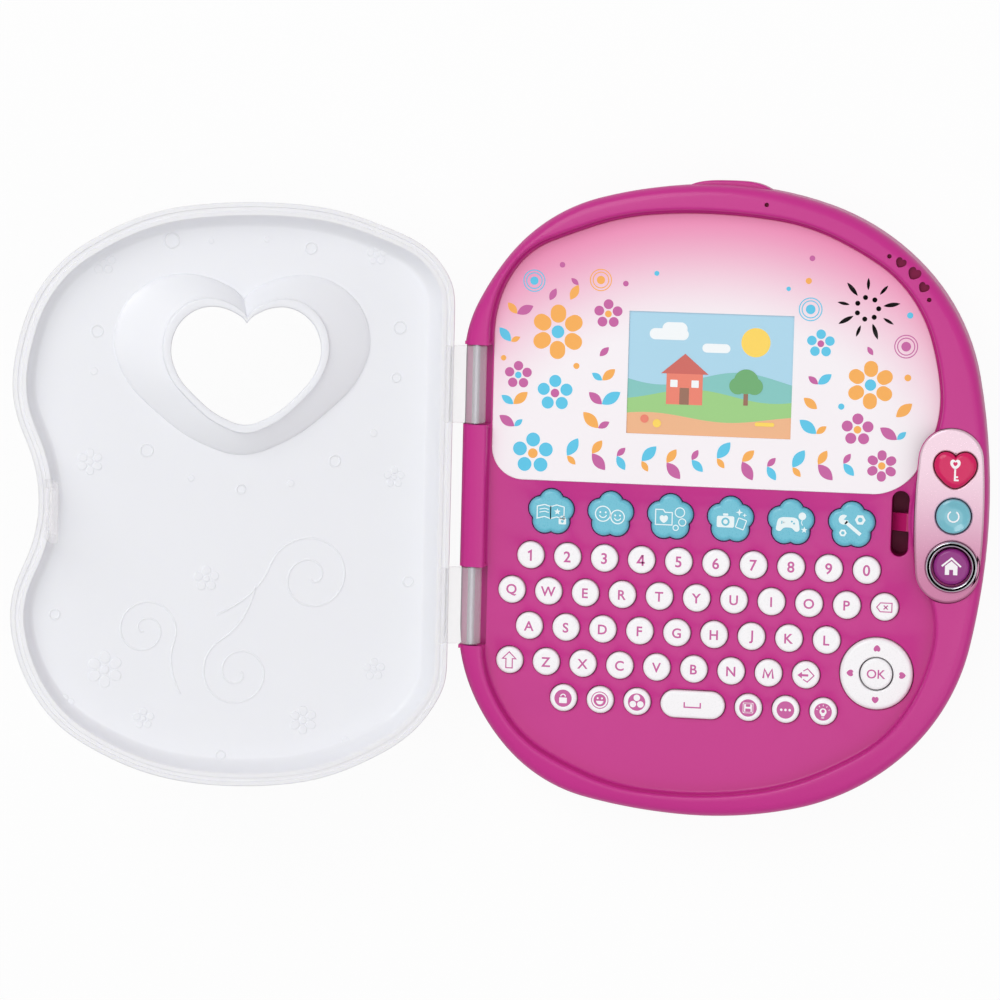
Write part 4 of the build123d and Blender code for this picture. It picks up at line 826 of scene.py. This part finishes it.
def icon_games():
    """Game pad, balloon and star."""
    pad = softened(evenly(np.array([(-3.9, -2.0), (-2.7, -2.4), (-1.8, -1.2), (0.4, -1.2), (1.3, -2.4), (2.5, -2.0),
                                    (2.0, 1.0), (0.9, 1.5), (-2.3, 1.5), (-3.4, 1.0)]), 0.35), 3)
    cross = [(-2.3, 0.5), (-2.3, -0.3)], [(-2.7, 0.1), (-1.9, 0.1)]
    return [(pad, [circle(0.26, (0.3, 0.4), 12), circle(0.26, (0.9, -0.1), 12), ribbon(cross[0], 0.3)[0]]),
            (pill(0.3, 0.3, (-1.8, 0.1)), []), (circle(1.0, (3.0, 1.9), 20) * (1, 1), []),
            ribbon([(3.0, 0.9), (2.8, 0.2), (3.1, -0.5)], 0.2)] + plain(star() * 0.85 + (3.6, -1.7))


def icon_tools():
    """Spanner and two nuts."""
    jaw = np.vstack([arc(1.3, 60, 360, (-2.1, 1.5), 22), [(-2.1, 1.5)]])
    handle = [(-1.6, 0.9), (2.4, -2.3)]
    nuts = [(circle(r, place, 6), [circle(r * 0.45, place, 16)]) for r, place in ((1.4, (2.2, 1.6)), (1.0, (-2.2, -2.0)))]
    return plain(turned(jaw - (-2.1, 1.5), -10) + (-2.1, 1.5)) + [ribbon(handle, 0.9)] + nuts


STROKES = {"m": [[(-1.75, -1.8), (-1.35, 1.5), (0, -1.2), (1.35, 1.5), (1.75, -1.8)]],
           "1": [[(-0.85, 0.95), (0.2, 1.6), (0.2, -2.0)]],
           "4": [[(0.55, -2.0), (0.55, 1.95)], [(0.42, 1.8), (-1.2, -0.85), (1.3, -0.85)]]}


# ---- keys -------------------------------------------------------------------------------------
def round_keys_piece(places, name, body, node):
    """Round key caps that move together, with their legends."""
    piece = Piece()
    for sign, place in places.items():
        piece.prism(circle(KEY_RADIUS, place, 48), KEY_BOTTOM, KEY_TOP, 1.0, steps=6)
        if sign in ICONS:
            shapes, size = ICONS[sign]
            piece.print(shifted(shapes(), size, place), KEY_TOP, 1)
        elif sign in STROKES:
            piece.print([ribbon(np.array(line, float) + place, 0.68) for line in STROKES[sign]], KEY_TOP, 1)
        else:
            piece.text(sign.upper(), 4.0 if sign.isdigit() else 3.6, place, KEY_TOP, 1, 0.085)
    return piece.make(name, body, [key_white, legend], [node])


def flower_keys():
    icons = (icon_book, icon_faces, icon_folder, icon_camera, icon_games, icon_tools)
    for i, (place, icon) in enumerate(zip(flowers, icons), 1):
        piece = Piece()
        outline = petals(5, PETAL_CIRCLE, PETAL_RADIUS, place)
        piece.prism(outline, KEY_BOTTOM, KEY_TOP, 1.6, steps=8)
        piece.print(shifted(icon(), 1.36, np.array(place)), KEY_TOP, 1)
        piece.make(f"flower_cap_{i}", f"flower_key_{i}", [flower_blue, icon_white],
                   [f"flower_key_{i}"])


def other_keys():
    """Space key, four-way ring and its middle key."""
    piece = Piece()
    piece.prism(pill(*SPACE_SIZE, SPACE_AT), KEY_BOTTOM, KEY_TOP, 1.0, steps=6)
    mark = np.array([(-2.9, 0.9), (-2.9, -0.9), (2.9, -0.9), (2.9, 0.9)]) + SPACE_AT
    piece.print([ribbon(mark, 0.5)], KEY_TOP, 1)
    piece.make("space_cap", "space_key", [key_white, legend], ["space_key"])
    piece = Piece()
    piece.prism(circle(DPAD_RADIUS, DPAD_AT, 96), KEY_BOTTOM, KEY_TOP, 1.5,
                [circle(OK_RADIUS + OK_GAP, DPAD_AT, 64)], 0.5, steps=7)
    marks = [turned(heart(2.4, 2.3, (0, 0), 0.3) * (1, -1)[::1] + (0, 9.3), 90 * i) + DPAD_AT for i in range(4)]
    piece.print(plain(*marks), KEY_TOP, 1)
    piece.make("dpad_cap", "dpad", [key_white, legend], ["dpad_ring"])
    piece = Piece()
    piece.prism(circle(OK_RADIUS, DPAD_AT, 64), KEY_BOTTOM, KEY_TOP, 0.9, steps=6)
    piece.text("OK", 3.3, DPAD_AT, KEY_TOP, 1, 0.045)
    piece.make("ok_cap", "ok_button", [key_white, legend], ["ok_button"])


def side_buttons():
    """Metallic plate, its three buttons and the chrome ring."""
    piece = Piece()
    holes = [softened(evenly(inset(heart_outline, -BUTTON_GAP), 0.4), 4), circle(POWER_RADIUS + BUTTON_GAP, POWER_AT, 64),
             circle(RING_RADII[0] + 0.1, HOME_AT, 64)]
    piece.prism(panel_outline, PANEL_BOTTOM, PANEL_TOP, 0.9, holes, 0.55, steps=6)
    piece.make("side_plate", "case", [panel_sheen_metal], ["button_panel"])
    piece = Piece()
    piece.prism(circle(RING_RADII[0], HOME_AT, 96), PANEL_BOTTOM, RING_TOP, 0.9,
                [circle(RING_RADII[1], HOME_AT, 96)], 0.9, steps=8)
    piece.make("home_ring", "case", [chrome], ["chrome_ring"])
    piece = Piece()
    piece.pillow(heart_outline, HEART_AT, 6.4, BUTTON_BOTTOM, BUTTON_TOP, 2.2)
    shank = plain([(-0.27, 0.3), (-0.27, -3.3), (1.1, -3.3), (1.1, -2.8), (0.27, -2.8), (0.27, -2.35), (0.9, -2.35),
                   (0.9, -1.85), (0.27, -1.85), (0.27, 0.3)])
    bow = [(heart(3.0, 2.8, (0, 1.6), 0.3), [heart(1.3, 1.2, (0, 1.7), 0.2)])]
    piece.print(shifted(shank + bow, 1.2, np.array(HEART_AT) + (0, 0.3)), BUTTON_TOP, 1)
    piece.make("heart_cap", "heart_button", [heart_red, white_print], ["heart_button"])
    piece = Piece()
    dish = [at(circle(POWER_RADIUS - d, POWER_AT, 64), z) for d, z in
            ((0, BUTTON_BOTTOM), (0, BUTTON_TOP - 0.9), (0.25, BUTTON_TOP - 0.3), (0.8, BUTTON_TOP),
             (1.3, BUTTON_TOP - 0.15), (2.2, BUTTON_TOP - 0.65), (3.4, BUTTON_TOP - 0.85))]
    piece.rings(dish)
    piece.fill([dish[-1][:, :2]], BUTTON_TOP - 0.85)
    piece.fill([dish[0][:, :2]], BUTTON_BOTTOM)
    piece.print([ribbon(arc(1.9, 120, 420, POWER_AT, 28), 0.5)], BUTTON_TOP - 0.85, 1)
    piece.make("power_cap", "power_button", [power_blue, white_print], ["power_button"])
    piece = Piece()
    piece.prism(circle(HOME_RADIUS, HOME_AT, 72), BUTTON_BOTTOM, BUTTON_TOP, 1.5, steps=8)
    roof = [(-2.9, 0.2), (0, 2.7), (2.9, 0.2)]
    walls = [(-1.9, 0.3), (-1.9, -2.4), (-0.6, -2.4), (-0.6, -0.8), (0.6, -0.8), (0.6, -2.4), (1.9, -2.4), (1.9, 0.3),
             (0, 1.9)]
    piece.print(shifted([ribbon(roof, 0.55)] + plain(walls), 1.15, np.array(HOME_AT)), BUTTON_TOP, 1)
    piece.make("home_cap", "home_button", [home_purple, white_print], ["home_button"])


# ---- printed plate and screen -------------------------------------------------------------------
def leaf(length, width, turn, place):
    """Pointed leaf."""
    t = np.linspace(0, 1, 14)
    half = np.stack([t * length, np.sin(t * pi) ** 0.85 * width / 2], 1)
    return turned(np.vstack([half * (1, -1), half[-2:0:-1]]), turn) + place


def bloom(x, y, radius, count):
    """Flower of separate round petals with a middle, as (petals, middle)."""
    reach = radius * 0.62
    width = reach * 2 * sin(pi / count) * 0.86
    loop = pill(radius * 0.62, width) if radius * 0.62 > width else circle(width / 2)
    blades = [turned(loop + (reach, 0), 360 / count * i + 90) + (x, y) for i in range(count)]
    return blades, circle(radius * 0.22, (x, y), 24)


def vine(points, size, first=0):
    """Leaves in three colours, in pairs along a curved stem."""
    points = np.asarray(points, float)
    ways = np.degrees(np.arctan2(*np.gradient(points, axis=0).T[::-1]))
    found = []
    for i, (point, way) in enumerate(zip(points, ways)):
        for side in (1, -1):
            grown = size * (0.8 + 0.25 * sin(2.1 * i + side))
            found.append(((i * 2 + (side > 0) + first) % 3, leaf(grown, grown * 0.5, way + side * 52, point)))
    return found


def faceplate():
    """Printed plate with its window and the pierced field over the loudspeaker."""
    outline = faceplate_outline()
    window = box(*SCREEN_SIZE, 0.0, SCREEN_AT)
    piece = Piece()
    piece.prism(outline, DECK_TOP, FACEPLATE_TOP, 0.25, [window, *grille_loops()], 0.0, steps=3)
    vines = [vine([(33.5 + 9.0 * i, 17.6 + 1.2 * sin(1.3 * i)) for i in range(12)], 7.4),
             vine([(14.0, 27.5), (13.5, 35.5)], 6.6, 1), vine([(12.0, 58), (14.0, 68)], 6.4),
             vine([(44.5 + 1.2 * sin(1.1 * i), 28 + 8.6 * i) for i in range(4)], 7.8, 2),
             vine([(122.5, 29 + 8.8 * i) for i in range(3)], 7.6), vine([(151.0 - 0.6 * i, 28 + 8.0 * i) for i in range(2)], 7.2, 1),
             vine([(139.5, 60.5), (147.0, 60.0)], 6.0, 2), vine([(36, 79), (28, 77.5)], 6.0, 2)]
    blooms = ((29, 62, 10.5, 6, 0, 1), (21, 18, 8.0, 5, 1, 0), (47, 69, 5.6, 5, 2, 0), (15, 46, 5.4, 5, 2, 1),
              (146, 18.5, 6.0, 6, 2, 0), (141, 47, 9.2, 6, 0, 1), (123, 61, 5.4, 5, 1, 2), (28.5, 40, 7.0, 5, 1, 2),
              (137, 31, 6.2, 5, 2, 0))
    dots = ((20, 80, 1.5, 1), (44, 81, 1.5, 0), (53, 80, 1.0, 2), (119, 73, 1.7, 1), (118, 83, 1.1, 0),
            (153, 61, 1.7, 2), (119, 91, 1.0, 2), (154, 72, 1.1, 1), (9.5, 52, 1.0, 0), (36, 50, 1.1, 0),
            (131, 39, 1.1, 1), (154, 50, 1.2, 0), (64, 84, 0.9, 1), (30, 86, 1.0, 2), (111, 80, 0.8, 1))
    border, frame_edge = inset(outline, 1.6), box(SCREEN_SIZE[0] + 3, SCREEN_SIZE[1] + 3, 0.0, SCREEN_AT)
    centres = np.array([mark[:2] for mark in blooms + dots] + [SPEAKER_AT])
    reach = np.array([b[2] + 0.7 for b in blooms] + [d[2] + 2.9 for d in dots] + [12.5])

    def fits(loop):
        clear = (np.hypot(*(loop[:, None] - centres).transpose(2, 0, 1)) > reach).all()
        return clear and inside(loop, [border]).all() and not inside(loop, [frame_edge]).any()

    leaves = [pair for group in vines for pair in group if fits(pair[1])]
    for x, y, radius, count, petal, middle in blooms:
        blades, disc = bloom(x, y, radius, count)
        leaves += [(petal, blade) for blade in blades] + [(middle, disc)]
    for x, y, radius, tone in dots:
        leaves.append((tone, circle(radius, (x, y), 24)))
        if radius > 1.35:
            for gap in (1.3, 2.3):
                piece.print([ribbon(circle(radius + gap, (x, y), 40), 0.35, True)], FACEPLATE_TOP, tone + 1)
    for tone in range(3):
        kept = [loop for colour, loop in leaves if colour == tone]
        piece.print(plain(*kept), FACEPLATE_TOP, tone + 1, 0.03 + 0.015 * tone)
    piece.make("printed_plate", "case", [faceplate_print, orange, blue, magenta], ["faceplate"])


def screen_picture():
    """Generic picture on the screen: a house among hills under the sun."""
    w, h = SCREEN_SIZE[0] / 2, SCREEN_SIZE[1] / 2
    x, y = SCREEN_AT
    top = DECK_TOP - 0.1
    across = np.linspace(-w, w, 40)

    def land(height, swing, phase):
        ridge = height + swing * np.sin(across / 9 + phase)
        return np.vstack([[(w, -h)], np.stack([across, ridge], 1)[::-1], [(-w, -h)]])[::-1] + SCREEN_AT

    layers = [(0, box(2 * w, 2 * h, 0.0, SCREEN_AT)), (1, circle(5.2, (x + 16, y + 12), 40)),
              (2, pill(14, 4.0, (x - 15, y + 14))), (2, pill(9, 4.6, (x - 13, y + 16))),
              (2, pill(10, 3.2, (x + 2, y + 9.5))), (3, land(-1.5, 2.6, 0.4)), (4, land(-7.5, 2.0, 2.2)),
              (5, land(-15.5, 1.4, 4.0)), (6, box(13, 11, 0.0, (x - 9, y - 5.5))),
              (7, np.array([(-8.5, 0), (8.5, 0), (0, 7.2)]) + (x - 9, y)),
              (8, box(3.4, 6.0, 0.3, (x - 9, y - 8))), (2, box(2.6, 2.6, 0.2, (x - 12.8, y - 3.5))),
              (2, box(2.6, 2.6, 0.2, (x - 5.2, y - 3.5))), (8, box(1.6, 6.0, 0.0, (x + 13, y - 7.5))),
              (9, circle(4.4, (x + 13, y - 2), 32)), (9, circle(3.0, (x + 10, y - 3.6), 24)),
              (9, circle(3.0, (x + 16, y - 3.6), 24)), (1, pill(7, 1.4, (x + 20, y - 17))),
              (6, circle(1.5, (x - 23, y - 16.5), 20)), (1, circle(1.5, (x - 18.5, y - 18), 20))]
    piece = Piece()
    for i, (tone, loop) in enumerate(layers):
        piece.print(plain(loop), top + 0.012 * i, tone, 0.01)
    piece.make("screen_picture", "case", screen_tones)


# ---- lid --------------------------------------------------------------------------------------
lid_outline = softened(evenly(right_of(inset(recess_outline, 0.7), LID_X), 1.6), 12)
unit_heart = heart(2.0, HEART_SPAN, step=0.035)


def lid_heart(width, height):
    return unit_heart * (width / 2, height / HEART_SPAN) + SCREEN_AT


def half_chord(radius, height):
    return (radius ** 2 - height ** 2) ** 0.5


def smoothstep(t):
    return t * t * (3 - 2 * t)


def lid_shell():
    """Dished panel with its flange, and the heart-shaped cup around the window."""
    piece = Piece()
    flange_out = [(0.0, FLANGE_TOP - 0.6), (0.15, FLANGE_TOP - 0.2), (0.5, FLANGE_TOP), (3.0, FLANGE_TOP)]
    flange_in = [(0.0, FLANGE_TOP - 0.6), (0.0, FLANGE_BOTTOM + 0.35), (0.35, FLANGE_BOTTOM), (1.5, FLANGE_BOTTOM),
                 (1.7, FLANGE_BOTTOM + 0.45), (2.9, FLANGE_BOTTOM + 0.45), (3.1, FLANGE_BOTTOM), (4.4, FLANGE_BOTTOM),
                 (4.8, FLANGE_BOTTOM + 0.4)]
    inner_rise = [(4.8 + 4.2 * t, FLANGE_BOTTOM + 0.4 + (DOME_UNDER - FLANGE_BOTTOM - 0.4) * sin(pi / 2 * t) ** 0.75)
                  for t in np.linspace(0.06, 1, 14)]
    outer_rise = [(3.0 + 4.6 * (1 - cos(a)), FLANGE_TOP + (DOME_TOP - FLANGE_TOP) * sin(a))
                  for a in np.linspace(0, pi / 2, 12)]
    for profile, paint in ((flange_in, 1), ([flange_in[-1]] + inner_rise, 0), (flange_out, 1),
                           ([flange_out[-1]] + outer_rise[1:], 0)):
        loops = [at(inset(lid_outline, d), z) for d, z in profile]
        piece.rings(loops, paint)
    floor_in, floor_out = inset(lid_outline, inner_rise[-1][0]), inset(lid_outline, outer_rise[-1][0])
    base_w, base_h = CUP_SIZE[0] + 2 * LIP, CUP_SIZE[1] + 2 * LIP
    lip_w, lip_h = WINDOW_SIZE[0] + 2.9 * LIP, WINDOW_SIZE[1] + 2.9 * LIP
    cup_end = FACEPLATE_TOP + 1.2
    shelf = 1.5
    hill = [(base_w, base_h, DOME_UNDER), (base_w - 0.3, base_h - 0.3, DOME_UNDER - 0.5)]
    hill += [(base_w + (lip_w - base_w) * t, base_h + (lip_h - base_h) * t,
              DOME_UNDER - 0.5 - (DOME_UNDER - 0.5 - cup_end - shelf) * t ** 0.85) for t in np.linspace(0.04, 1, 12)]
    lip = [(lip_w - 0.25, lip_h - 0.25, cup_end + 0.5), (lip_w - 0.8, lip_h - 0.8, cup_end + 0.1),
           (lip_w - 1.5, lip_h - 1.5, cup_end), (WINDOW_SIZE[0] + 1.6, WINDOW_SIZE[1] + 1.6, cup_end),
           (WINDOW_SIZE[0] + 0.6, WINDOW_SIZE[1] + 0.6, cup_end + 0.2), (*WINDOW_SIZE, cup_end + 0.9)]
    well = [(WINDOW_SIZE[0] + (CUP_SIZE[0] - WINDOW_SIZE[0]) * t, WINDOW_SIZE[1] + (CUP_SIZE[1] - WINDOW_SIZE[1]) * t,
             cup_end + 0.9 + (DOME_TOP - cup_end - 0.9) * smoothstep(t) ** 0.8) for t in np.linspace(0, 1, 12)]
    piece.rings([at(lid_heart(w, h), z) for w, h, z in hill + lip + well])
    piece.fill([floor_in, lid_heart(base_w, base_h)], DOME_UNDER)
    piece.fill([floor_out, lid_heart(*CUP_SIZE)], DOME_TOP)
    piece.make("lid_shell", "lid", [lid_white, lid_edge], ["lid"], LID_OPEN, sharp=38)


def lid_relief():
    """Flowers, rings, dots and scrolls that stand a little proud of the lid's inner face."""
    piece = Piece()
    shapes = []
    for x, y, radius, count in ((132, -60, 7.0, 6), (118, -78, 4.2, 5), (146, -72, 3.6, 5), (60, -80, 5.6, 6),
                                (34, -62, 4.4, 5), (28, 8, 4.2, 5), (138, 14, 5.0, 6), (36, 88, 4.2, 5),
                                (134, 84, 4.6, 5), (96, -28, 5.0, 5)):
        blades, disc = bloom(x, y, radius, count)
        shapes += plain(*blades, disc)
    for x, y, radius in ((60, 90, 2.0), (110, 92, 2.6), (76, 93, 1.2), (96, 92, 1.0), (136, 60, 2.0), (137, 46, 1.4),
                         (28, 44, 1.6), (27, 62, 2.2), (36, 24, 1.4), (50, 14, 2.0), (66, 6, 1.3), (84, 4, 1.6),
                         (102, 8, 1.2), (118, 18, 2.2), (150, -40, 1.8), (22, -30, 1.8), (90, -92, 1.6), (44, -88, 1.4)):
        shapes.append(ribbon(circle(radius, (x, y), 32), 0.6, True) if radius > 1.5 else (circle(radius, (x, y), 24), []))
    for x, y, size, turn, way in ((58, -28, 15.0, 20, 1), (118, -46, 11.0, 200, -1), (84, -62, 13.0, 60, -1)):
        t = np.linspace(0, 1, 60)
        angle, reach = t * 3.4 * pi, size * (1 - t) ** 0.8 + 0.6
        scroll = np.stack([np.cos(angle), way * np.sin(angle)], 1) * reach[:, None]
        tail = np.stack([np.full(12, size + 0.6), -way * np.linspace(size * 1.6, 1.0, 12)], 1)
        tail[:, 0] += (np.linspace(1, 0, 12) ** 2) * size * 0.8
        shapes.append(ribbon(turned(np.vstack([tail, scroll[1:]]), turn) + (x, y), 0.7))
    for outline, holes in shapes:
        piece.prism(outline, -DOME_UNDER - 0.1, -DOME_UNDER + 0.28, 0.22, holes, 0.2, steps=3)
    piece.points = [(x, y, -z) for x, y, z in piece.points]
    piece.make("lid_relief", "lid", [lid_white], (), LID_OPEN)


def lid_fittings():
    """Clear hinge barrels on their tabs, and the clip."""
    for i, y in enumerate(TAB_CENTRES, 1):
        piece = Piece()
        high, low = half_chord(BARREL_RADIUS, FLANGE_TOP - HINGE_Z), half_chord(BARREL_RADIUS, FLANGE_BOTTOM - HINGE_Z)
        start, end = np.degrees(np.arctan2(FLANGE_TOP - HINGE_Z, high)), 360 + np.degrees(
            np.arctan2(FLANGE_BOTTOM - HINGE_Z, low))
        outline = np.vstack([[(LID_X + 3.6, FLANGE_BOTTOM), (LID_X + 3.6, FLANGE_TOP)],
                             arc(BARREL_RADIUS, start, end, (0, HINGE_Z), 40)])
        piece.prism(outline, 0.0, TAB_LENGTH, 0.3, [circle(PIN_RADIUS + 0.15, (0, HINGE_Z), 32)], 0.0, steps=3,
                    foot=0.3)
        piece.points = [(a, y - TAB_LENGTH / 2 + c, b) for a, b, c in piece.points]
        piece.make(f"hinge_barrel_{i}", "lid", [lid_clear], (), LID_OPEN)
    piece = Piece()
    wide, thick, foot = 21.3, 3.0, 2.4
    low = SLOT_FLOOR + 0.4
    outline = box(wide, FLANGE_TOP - low, 1.0, (SLOT_AT[1], (FLANGE_TOP + low) / 2))
    window = box(16.0, FLANGE_BOTTOM - low - foot, 0.8, (SLOT_AT[1], (FLANGE_BOTTOM + low + foot) / 2))
    piece.prism(outline, 0.0, thick, 0.4, [window], 0.3, steps=3, foot=0.4)
    piece.points = [(SLOT_AT[0] - thick / 2 + c, a, b) for a, b, c in piece.points]
    piece.make("lid_clip", "lid", [lid_clear], (), LID_OPEN)


# ---- run --------------------------------------------------------------------------------------
front_case()
hinge_saddles()
camera_pod()
faceplate()
screen_picture()
round_keys_piece(numbers, "number_caps", "number_keys", "number_keys")
round_keys_piece(functions, "function_caps", "function_keys", "function_keys")
for sign, place in letters.items():
    round_keys_piece({sign: place}, f"cap_{sign}", f"key_{sign}", f"key_{sign}")
flower_keys()
other_keys()
side_buttons()
lid_shell()
lid_relief()
lid_fittings()


def camera_and_light():
    """Camera as fitted to the photograph, and soft studio light."""
    bpy.context.scene.view_settings.view_transform = "Standard"
    place = AT_REST @ Vector((205.052, 134.563, 1196.379))
    ahead, up = Vector((-0.163748, -0.112195, -0.980101)), Vector((-0.042465, 0.993392, -0.106622))
    data = bpy.data.cameras.new("camera")
    data.sensor_width, data.lens = 36.0, 119.098
    data.clip_start, data.clip_end = 0.05, 20.0
    camera = bpy.data.objects.new("camera", data)
    right = ahead.cross(up)
    camera.matrix_world = Matrix.Translation(place) @ Matrix((right, up, -ahead)).transposed().to_4x4()
    bpy.context.scene.collection.objects.link(camera)
    bpy.context.scene.camera = camera
    for name, spot, size, power in (("key", (-0.5, 0.9, 1.3), 1.0, 7.4), ("fill", (0.9, -0.5, 1.2), 1.4, 3.6),
                                    ("top", (0.0, 0.1, 1.8), 1.6, 6.4)):
        light = bpy.data.lights.new(name, "AREA")
        light.shape, light.size, light.energy = "DISK", size, power
        lamp = bpy.data.objects.new(name, light)
        lamp.location = spot
        lamp.rotation_euler = (Vector((0, 0, 0)) - Vector(spot)).to_track_quat("-Z", "Y").to_euler()
        bpy.context.scene.collection.objects.link(lamp)
    world = bpy.data.worlds.new("studio")
    bpy.context.scene.world = world
    world.use_nodes = True
    nodes, links = world.node_tree.nodes, world.node_tree.links
    sky, path, strength = nodes["Background"], nodes.new("ShaderNodeLightPath"), nodes.new("ShaderNodeMapRange")
    sky.inputs["Color"].default_value = (1, 1, 1, 1)
    strength.inputs["To Min"].default_value, strength.inputs["To Max"].default_value = 0.48, 1.0
    links.new(path.outputs["Is Camera Ray"], strength.inputs["Value"])
    links.new(strength.outputs["Result"], sky.inputs["Strength"])


def floor():
    """Pale floor that keeps the object's shadow and otherwise shows as white."""
    mesh = bpy.data.meshes.new("floor")
    mesh.from_pydata([(-3, -3, 0), (3, -3, 0), (3, 3, 0), (-3, 3, 0)], [], [(0, 1, 2, 3)])
    made = bpy.data.materials.new("floor")
    made.use_nodes = True
    nodes, links = made.node_tree.nodes, made.node_tree.links
    matt, glow, mix = nodes["Principled BSDF"], nodes.new("ShaderNodeEmission"), nodes.new("ShaderNodeMixShader")
    path, share = nodes.new("ShaderNodeLightPath"), nodes.new("ShaderNodeMapRange")
    speckle = nodes.new("ShaderNodeTexNoise")
    speckle.inputs["Scale"].default_value = 300.0
    tone = nodes.new("ShaderNodeMapRange")
    tone.inputs["To Min"].default_value, tone.inputs["To Max"].default_value = 0.80, 0.84
    links.new(speckle.outputs["Fac"], tone.inputs["Value"])
    links.new(tone.outputs["Result"], matt.inputs["Base Color"])
    matt.inputs["Roughness"].default_value = 0.8
    glow.inputs["Strength"].default_value = 1.0
    share.inputs["To Max"].default_value = 0.94
    links.new(path.outputs["Is Camera Ray"], share.inputs["Value"])
    links.new(share.outputs["Result"], mix.inputs["Fac"])
    links.new(matt.outputs["BSDF"], mix.inputs[1])
    links.new(glow.outputs["Emission"], mix.inputs[2])
    links.new(mix.outputs["Shader"], nodes["Material Output"].inputs["Surface"])
    mesh.materials.append(made)
    plane = bpy.data.objects.new("floor", mesh)
    bpy.context.scene.collection.objects.link(plane)


camera_and_light()
floor()

CAD_MATERIALS = {"rear_case": pink, "battery_door": pink, "lcd_module": screen_off, "main_board": board_green,
                 "key_mat": rubber, "speaker": black, "batteries": cell_wrap, "battery_contacts": steel,
                 "case_screws": steel, "hinge_pins": steel, "camera_module": black, "lock_solenoid": steel,
                 "latch_bolt": bolt_pink, "latch_spring": steel, "door_screws": steel, "lid": lid_white,
                 "faceplate": faceplate_print, "button_panel": panel_sheen_metal, "chrome_ring": chrome,
                 "heart_button": heart_red, "power_button": power_blue, "home_button": home_purple}
for name, node in frame["nodes"].items():
    paint = CAD_MATERIALS.get(name, flower_blue if name.startswith("flower") else key_white)
    node.data.materials.clear()
    node.data.materials.append(paint)
    node.data.polygons.foreach_set("use_smooth", [True] * len(node.data.polygons))
    node.data.set_sharp_from_angle(angle=radians(30))
